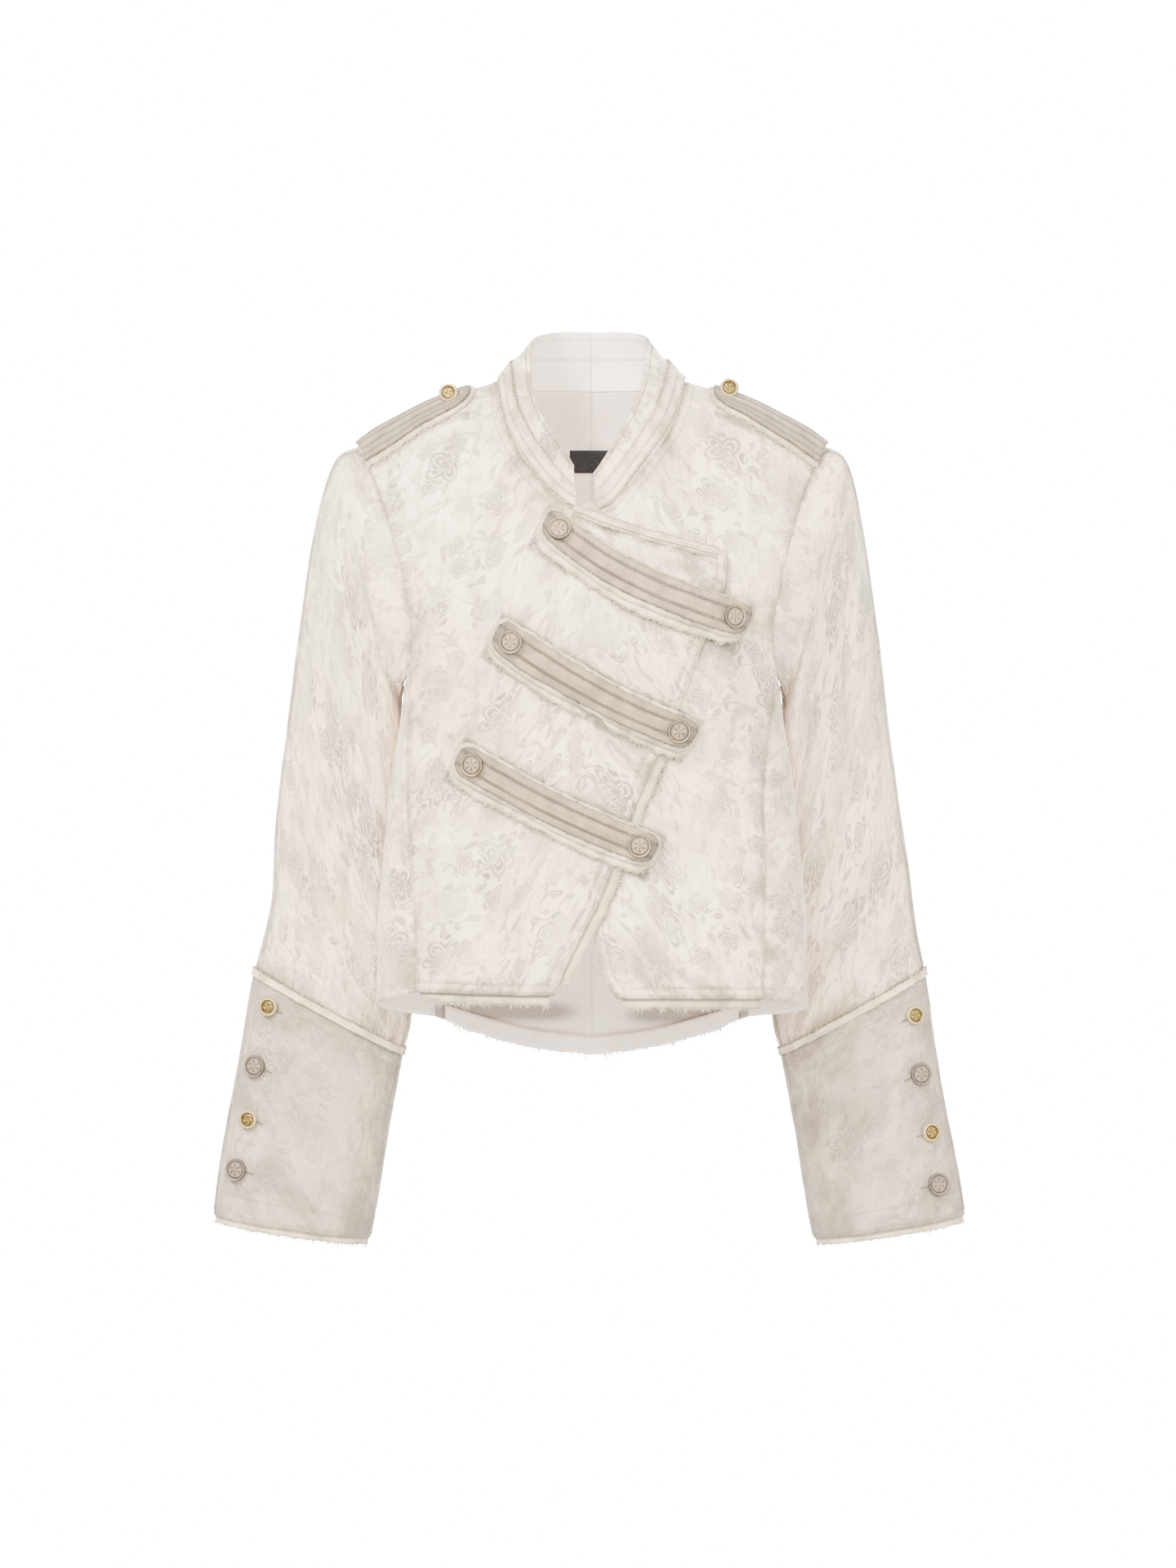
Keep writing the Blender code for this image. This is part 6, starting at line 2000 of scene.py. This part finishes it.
def on_surface(objs, places, outs):
    """Moves points on to the outer face of pieces, and gives the way out there."""
    trees = []
    for mesh in (obj.data for obj in objs):
        faces = [face.vertices for face in mesh.polygons]
        trees.append(BVHTree.FromPolygons([point.co for point in mesh.vertices], faces))
    found, ways = [], []
    for place, out in zip(places, outs):
        start = Vector(place + out * 12 * MM)
        best = None
        for tree in trees:
            hit = tree.ray_cast(start, Vector(-out), 0.024)
            if hit[0] is not None and (best is None or hit[3] < best[3]):
                best = hit
        found.append(place if best is None else np.array(best[0]))
        ways.append(out)
    return np.array(found), np.array(ways)


def sew_front(name, nodes, line, back=False):
    """A stitch row given by (x, z) points on the front or back of the body."""
    line = along(np.array(line, float), 2.0 * MM)
    q = to_flat(line[:, 0], line[:, 1])
    outs = torso_normal(line[:, 0], q, back)
    base = torso(line[:, 0], q, back)
    spots, outs = on_surface([BUILT[n] for n in nodes], base, outs)
    sew(name, spots, outs)


def shifted(line, by):
    """A line of (x, z) moved sideways."""
    line = np.array(line, float)
    way = units(np.gradient(line, axis=0))
    return line + np.stack([-way[:, 1], way[:, 0]], axis=1) * by


def sew_round(name, tube, row):
    """Stitches all round a sleeve or cuff, on one row of its points."""
    outer, normals = TUBES[tube]
    sew(name, *(np.concatenate([values[row], values[row, :1]]) for values in (outer, normals)))


def make_body_stitches():
    right = along(edge_line(RIGHT_EDGE, "right"), 3 * MM)
    left = along(edge_line(LEFT_EDGE, "left"), 3 * MM)
    for number, inset in ((1, 3.0), (2, 8.0)):
        sew_front(f"stitch_front_edge_{number}", ["front_right"], shifted(right, -inset * MM))
        low_part = left[len(left) * 2 // 3 :]
        sew_front(f"stitch_left_edge_{number}", ["front_left"], shifted(low_part, inset * MM))
    for hand, name in HANDS:
        hem_x = np.linspace(0.03, 0.137, 40) if hand < 0 else np.linspace(0.03, 0.134, 40)
        for number, up in ((1, 3.0), (2, 8.5)):
            z = smooth(HEM, "out", name, hem_x) + up * MM
            sew_front(f"stitch_hem_{name}_{number}", ["front_" + name], np.stack([hand * hem_x, z], axis=1))
        back_x = np.linspace(0.004, 0.130, 50)
        z = smooth(HEM, "out", "back", back_x) + 11 * MM
        line = np.stack([hand * back_x, z], axis=1)
        sew_front(f"stitch_back_hem_{name}", ["back_" + name], line, True)
        for back, side in ((False, "front"), (True, "back")):
            seam = princess_line(hand, back)
            line = shifted(seam, -2.6 * MM * hand)
            sew_front(f"stitch_princess_{side}_{name}", [f"{side}_{name}"], line, back)


def make_tab_stitches():
    neck = [(-0.009, -0.1085), (0.014, -0.1185), (0.045, -0.1285), (0.072, -0.1362), (0.100, -0.1430)]
    sew_front("stitch_tab_top", ["front_right", "tab_binding_2"], neck)
    for number, by in ((1, 0.0), (2, 2.4)):
        dart = np.array([(0.0845, -0.088), (0.0905, -0.110), (0.0955, -0.131)]) + np.array((by * MM, 0))
        sew_front(f"stitch_dart_{number}", ["front_left"], dart)
    sew_front("stitch_tab_low", ["front_right"], np.array(neck) + (-0.001, -0.0085))


def make_sleeve_stitches():
    """Stitches below the neck, and on the sleeves and cuffs."""
    for hand, name in HANDS:
        line = neck_line(hand, False)
        for number, below in ((1, 3.2), (2, 8.4)):
            moved = shifted(line, below * MM * hand)[2:-3]
            sew_front(f"stitch_neck_{name}_{number}", ["front_" + name], moved)
        outer, normals = TUBES["sleeve_" + name]
        sew(f"stitch_sleeve_{name}", outer[2:-3, OUTER_SEAM + 2], normals[2:-3, OUTER_SEAM + 2])
        outer, normals = TUBES["cuff_" + name]
        for number, row in ((1, -2), (2, -5)):
            sew_round(f"stitch_cuff_low_{name}_{number}", "cuff_" + name, row)
        for number, turn in ((1, OUTER_SEAM + 2), (2, OUTER_SEAM + 5)):
            sew(f"stitch_cuff_side_{name}_{number}", outer[3:-5, turn], normals[3:-5, turn])
        sew_round(f"stitch_cuff_top_{name}", "cuff_" + name, 5)


def make_braid_stitches():
    for name, row, off, layer in STITCH_ROWS:
        spot = strap_point(row, np.linspace(0.085, 0.915, 120), np.full(120, off))
        rise = top_lift(spot[:, 0], spot[:, 1]) + layer["lift"] + layer["thick"]
        base, outs = front_place(spot[:, 0], spot[:, 1], rise)
        spots, outs = on_surface([BUILT["strap_braid_" + row["name"]]], base, outs)
        sew("stitch_" + name, spots, outs, 1.9 * MM, 2.5 * MM, "dark_thread", "braid", 1.0)
    for hand, name in HANDS:
        for number, q in ((1, 3 * MM), (2, 16 * MM), (3, 29 * MM), (4, 43 * MM)):
            out = np.linspace(0.183, 0.106, 60)
            base, outs = shoulder_place(hand, out, np.linspace(q, q * 0.80 + 0.001, 60), np.zeros(60))
            spots, outs = on_surface([BUILT["epaulette_braid_" + name]], base, outs)
            label = f"stitch_epaulette_{name}_{number}"
            sew(label, spots, outs, 2.0 * MM, 2.2 * MM, "dark_thread", "braid", 0.8)
        turns, ups = np.linspace(0.02, 0.48, 160) + (0.0 if hand < 0 else 0.5), np.full(160, 0.90)
        base, outs = collar_point(turns, ups), collar_normal(turns, ups)
        spots, outs = on_surface([BUILT["collar_" + name]], base, outs)
        sew(f"stitch_collar_{name}", spots, outs)


def make_buttonholes():
    for hand, name in HANDS:
        outer, normals = TUBES["cuff_" + name]
        for row in rows(CUFF_BUTTONS):
            i, k, kind = CUFF_SPOTS[f"{name}_{row['name']}"]
            reach = 15 * MM if kind == "large" else 12.5 * MM
            row_points, row_out = outer[i, k : k + 40], normals[i, k : k + 40]
            far = reach_of(row_points)
            at = np.linspace(1 * MM, reach, 24)
            line, outs = read_along(row_points, far, at), units(read_along(row_out, far, at))
            label = f"buttonhole_{name}_{row['name']}"
            for side, off in (("_upper", 0.8 * MM), ("_lower", -0.8 * MM)):
                sew(label + side, line, outs, 0.75 * MM, 1.5 * MM, slant=1.4, off=off)
            sew(label + "_slit", line, outs, 1.2 * MM, 1.6 * MM, "dark_thread")


def make_fray():
    for name, line, ways, outs, reach, closed in RAW_EDGES:
        look = "dark_thread" if "braid" in name else "fray"
        fray(name, line, ways, outs, reach, closed, (0.8 if reach > 1.5 * MM else 1.0) * MM, look)


make_fronts()
make_backs()
make_sides()
make_sleeves()
make_collar()
make_straps()
make_epaulettes()
make_edge_ply()
make_tab_bindings()
make_hem_plies()
make_inside_strips()
make_buttons()
make_body_stitches()
make_tab_stitches()
make_sleeve_stitches()
make_braid_stitches()
make_buttonholes()
make_fray()

# Cut of every cloth piece: width, length and area laid flat, in metres, how it is held and what it lies on
CUTS = dict(
    columns=("node", "width", "length", "area", "held", "on"),
    rows=(
        ("front_right", 0.306, 0.5905, 0.09908, "hung", ""),
        ("front_left", 0.201, 0.6005, 0.07962, "hung", ""),
        ("back_right", 0.197, 0.6714, 0.09461, "hung", ""),
        ("back_left", 0.197, 0.6714, 0.09456, "hung", ""),
        ("side_right", 0.140, 0.3050, 0.03610, "hung", ""),
        ("side_left", 0.145, 0.3050, 0.03891, "hung", ""),
        ("sleeve_front_right", 0.192, 0.4448, 0.06102, "hung", ""),
        ("sleeve_back_right", 0.269, 0.4473, 0.07737, "hung", ""),
        ("cuff_front_right", 0.150, 0.2094, 0.02838, "hung", ""),
        ("cuff_back_right", 0.211, 0.2100, 0.03711, "hung", ""),
        ("cuff_band_right", 0.338, 0.0100, 0.00276, "laid", "cuff_front_right"),
        ("cuff_ply_right", 0.338, 0.0146, 0.00478, "laid", "cuff_front_right"),
        ("sleeve_front_left", 0.191, 0.4441, 0.05909, "hung", ""),
        ("sleeve_back_left", 0.267, 0.4466, 0.07553, "hung", ""),
        ("cuff_front_left", 0.147, 0.2092, 0.02737, "hung", ""),
        ("cuff_back_left", 0.205, 0.2098, 0.03611, "hung", ""),
        ("cuff_band_left", 0.338, 0.0100, 0.00272, "laid", "cuff_front_left"),
        ("cuff_ply_left", 0.338, 0.0143, 0.00469, "laid", "cuff_front_left"),
        ("collar_right", 0.232, 0.0464, 0.01032, "hung", ""),
        ("collar_binding_right", 0.232, 0.0220, 0.00496, "laid", "collar_right"),
        ("collar_left", 0.232, 0.0492, 0.01109, "hung", ""),
        ("collar_binding_left", 0.232, 0.0234, 0.00526, "laid", "collar_left"),
        ("strap_base_upper", 0.187, 0.0412, 0.00748, "laid", "front_right"),
        ("strap_ply_upper", 0.184, 0.0356, 0.00636, "laid", "strap_base_upper"),
        ("strap_braid_upper", 0.179, 0.0309, 0.00536, "laid", "strap_ply_upper"),
        ("strap_base_middle", 0.186, 0.0393, 0.00705, "laid", "front_right"),
        ("strap_ply_middle", 0.183, 0.0338, 0.00600, "laid", "strap_base_middle"),
        ("strap_braid_middle", 0.178, 0.0290, 0.00500, "laid", "strap_ply_middle"),
        ("strap_base_lower", 0.184, 0.0397, 0.00687, "laid", "front_right"),
        ("strap_ply_lower", 0.181, 0.0328, 0.00578, "laid", "strap_base_lower"),
        ("strap_braid_lower", 0.176, 0.0281, 0.00478, "laid", "strap_ply_lower"),
        ("epaulette_base_right", 0.117, 0.0760, 0.00480, "laid", "front_right"),
        ("epaulette_braid_right", 0.113, 0.0650, 0.00425, "laid", "epaulette_base_right"),
        ("epaulette_base_left", 0.117, 0.0760, 0.00478, "laid", "front_left"),
        ("epaulette_braid_left", 0.113, 0.0650, 0.00425, "laid", "epaulette_base_left"),
        ("front_edge_ply", 0.205, 0.0209, 0.00416, "laid", "front_right"),
        ("tab_binding_1", 0.118, 0.0116, 0.00132, "laid", "front_right"),
        ("tab_binding_2", 0.117, 0.0100, 0.00079, "laid", "tab_binding_1"),
        ("hem_ply_right", 0.107, 0.0170, 0.00177, "laid", "front_right"),
        ("hem_ply_left", 0.114, 0.0169, 0.00186, "laid", "front_left"),
        ("back_hem_facing", 0.270, 0.0176, 0.00438, "laid", "back_right"),
        ("neck_label", 0.034, 0.0206, 0.00068, "laid", "back_right"),
    ),
)
for row in rows(CUTS):
    threads = [piece.name for piece in bpy.data.objects if piece.name.startswith("fray_" + row["node"])]


# Floor, light and camera: places in metres, powers in watts
FLOOR_REACH, FLOOR_HEIGHT = 3, -1.9
CAMERA_PLACE, LENS = (-0.0033, -3.25, -0.3267), 90
SEEN_WHITE, SKY_STRENGTH = 24.0, 1.95
backdrop = bpy.data.meshes.new("floor")
corners = [(x * FLOOR_REACH, y * FLOOR_REACH, FLOOR_HEIGHT) for x, y in ((-1, -1), (1, -1), (1, 1), (-1, 1))]
backdrop.from_pydata(corners, [], [(0, 1, 2, 3)])
floor = bpy.data.objects.new("floor", backdrop)
white, start, shader = new_look("white_floor", 0.9)
shader.inputs["Base Color"].default_value = tone("floor")
backdrop.materials.append(white)
bpy.context.collection.objects.link(floor)

world = bpy.data.worlds.new("studio")
bpy.context.scene.world = world
world.use_nodes = True
tree = world.node_tree
ground = tree.nodes["Background"]
ground.inputs["Color"].default_value = (1.0, 1.0, 1.0, 1.0)
sky = Wire(tree)
camera_ray = sky.make("ShaderNodeLightPath")
seen = camera_ray * SEEN_WHITE + (1 - camera_ray) * SKY_STRENGTH
tree.links.new(seen.socket, ground.inputs["Strength"])


def area_light(name, place, aim, size, power):
    data = bpy.data.lights.new(name, "AREA")
    data.shape, data.size, data.energy = "SQUARE", size, power
    obj = bpy.data.objects.new(name, data)
    obj.location = place
    obj.rotation_euler = (Vector(aim) - Vector(place)).to_track_quat("-Z", "Y").to_euler()
    bpy.context.collection.objects.link(obj)
    return obj


lamps = [
    area_light("key", (-1.5, -2.0, 1.6), (0, 0, -0.3), 0.8, 330),
    area_light("front", (0.1, -3.1, 0.7), (0, 0, -0.15), 0.7, 150),
    area_light("fill", (1.9, -1.7, 0.2), (0, 0, -0.35), 1.6, 80),
    area_light("rim", (0.6, 2.2, 1.2), (0, 0, -0.3), 1.6, 120),
]
eye = bpy.data.cameras.new("camera")
eye.sensor_fit = "VERTICAL"
eye.sensor_height, eye.lens = 36, LENS
camera = bpy.data.objects.new("camera", eye)
camera.location = CAMERA_PLACE
camera.rotation_euler = (math.pi / 2, 0, 0)
bpy.context.collection.objects.link(camera)
bpy.context.scene.camera = camera
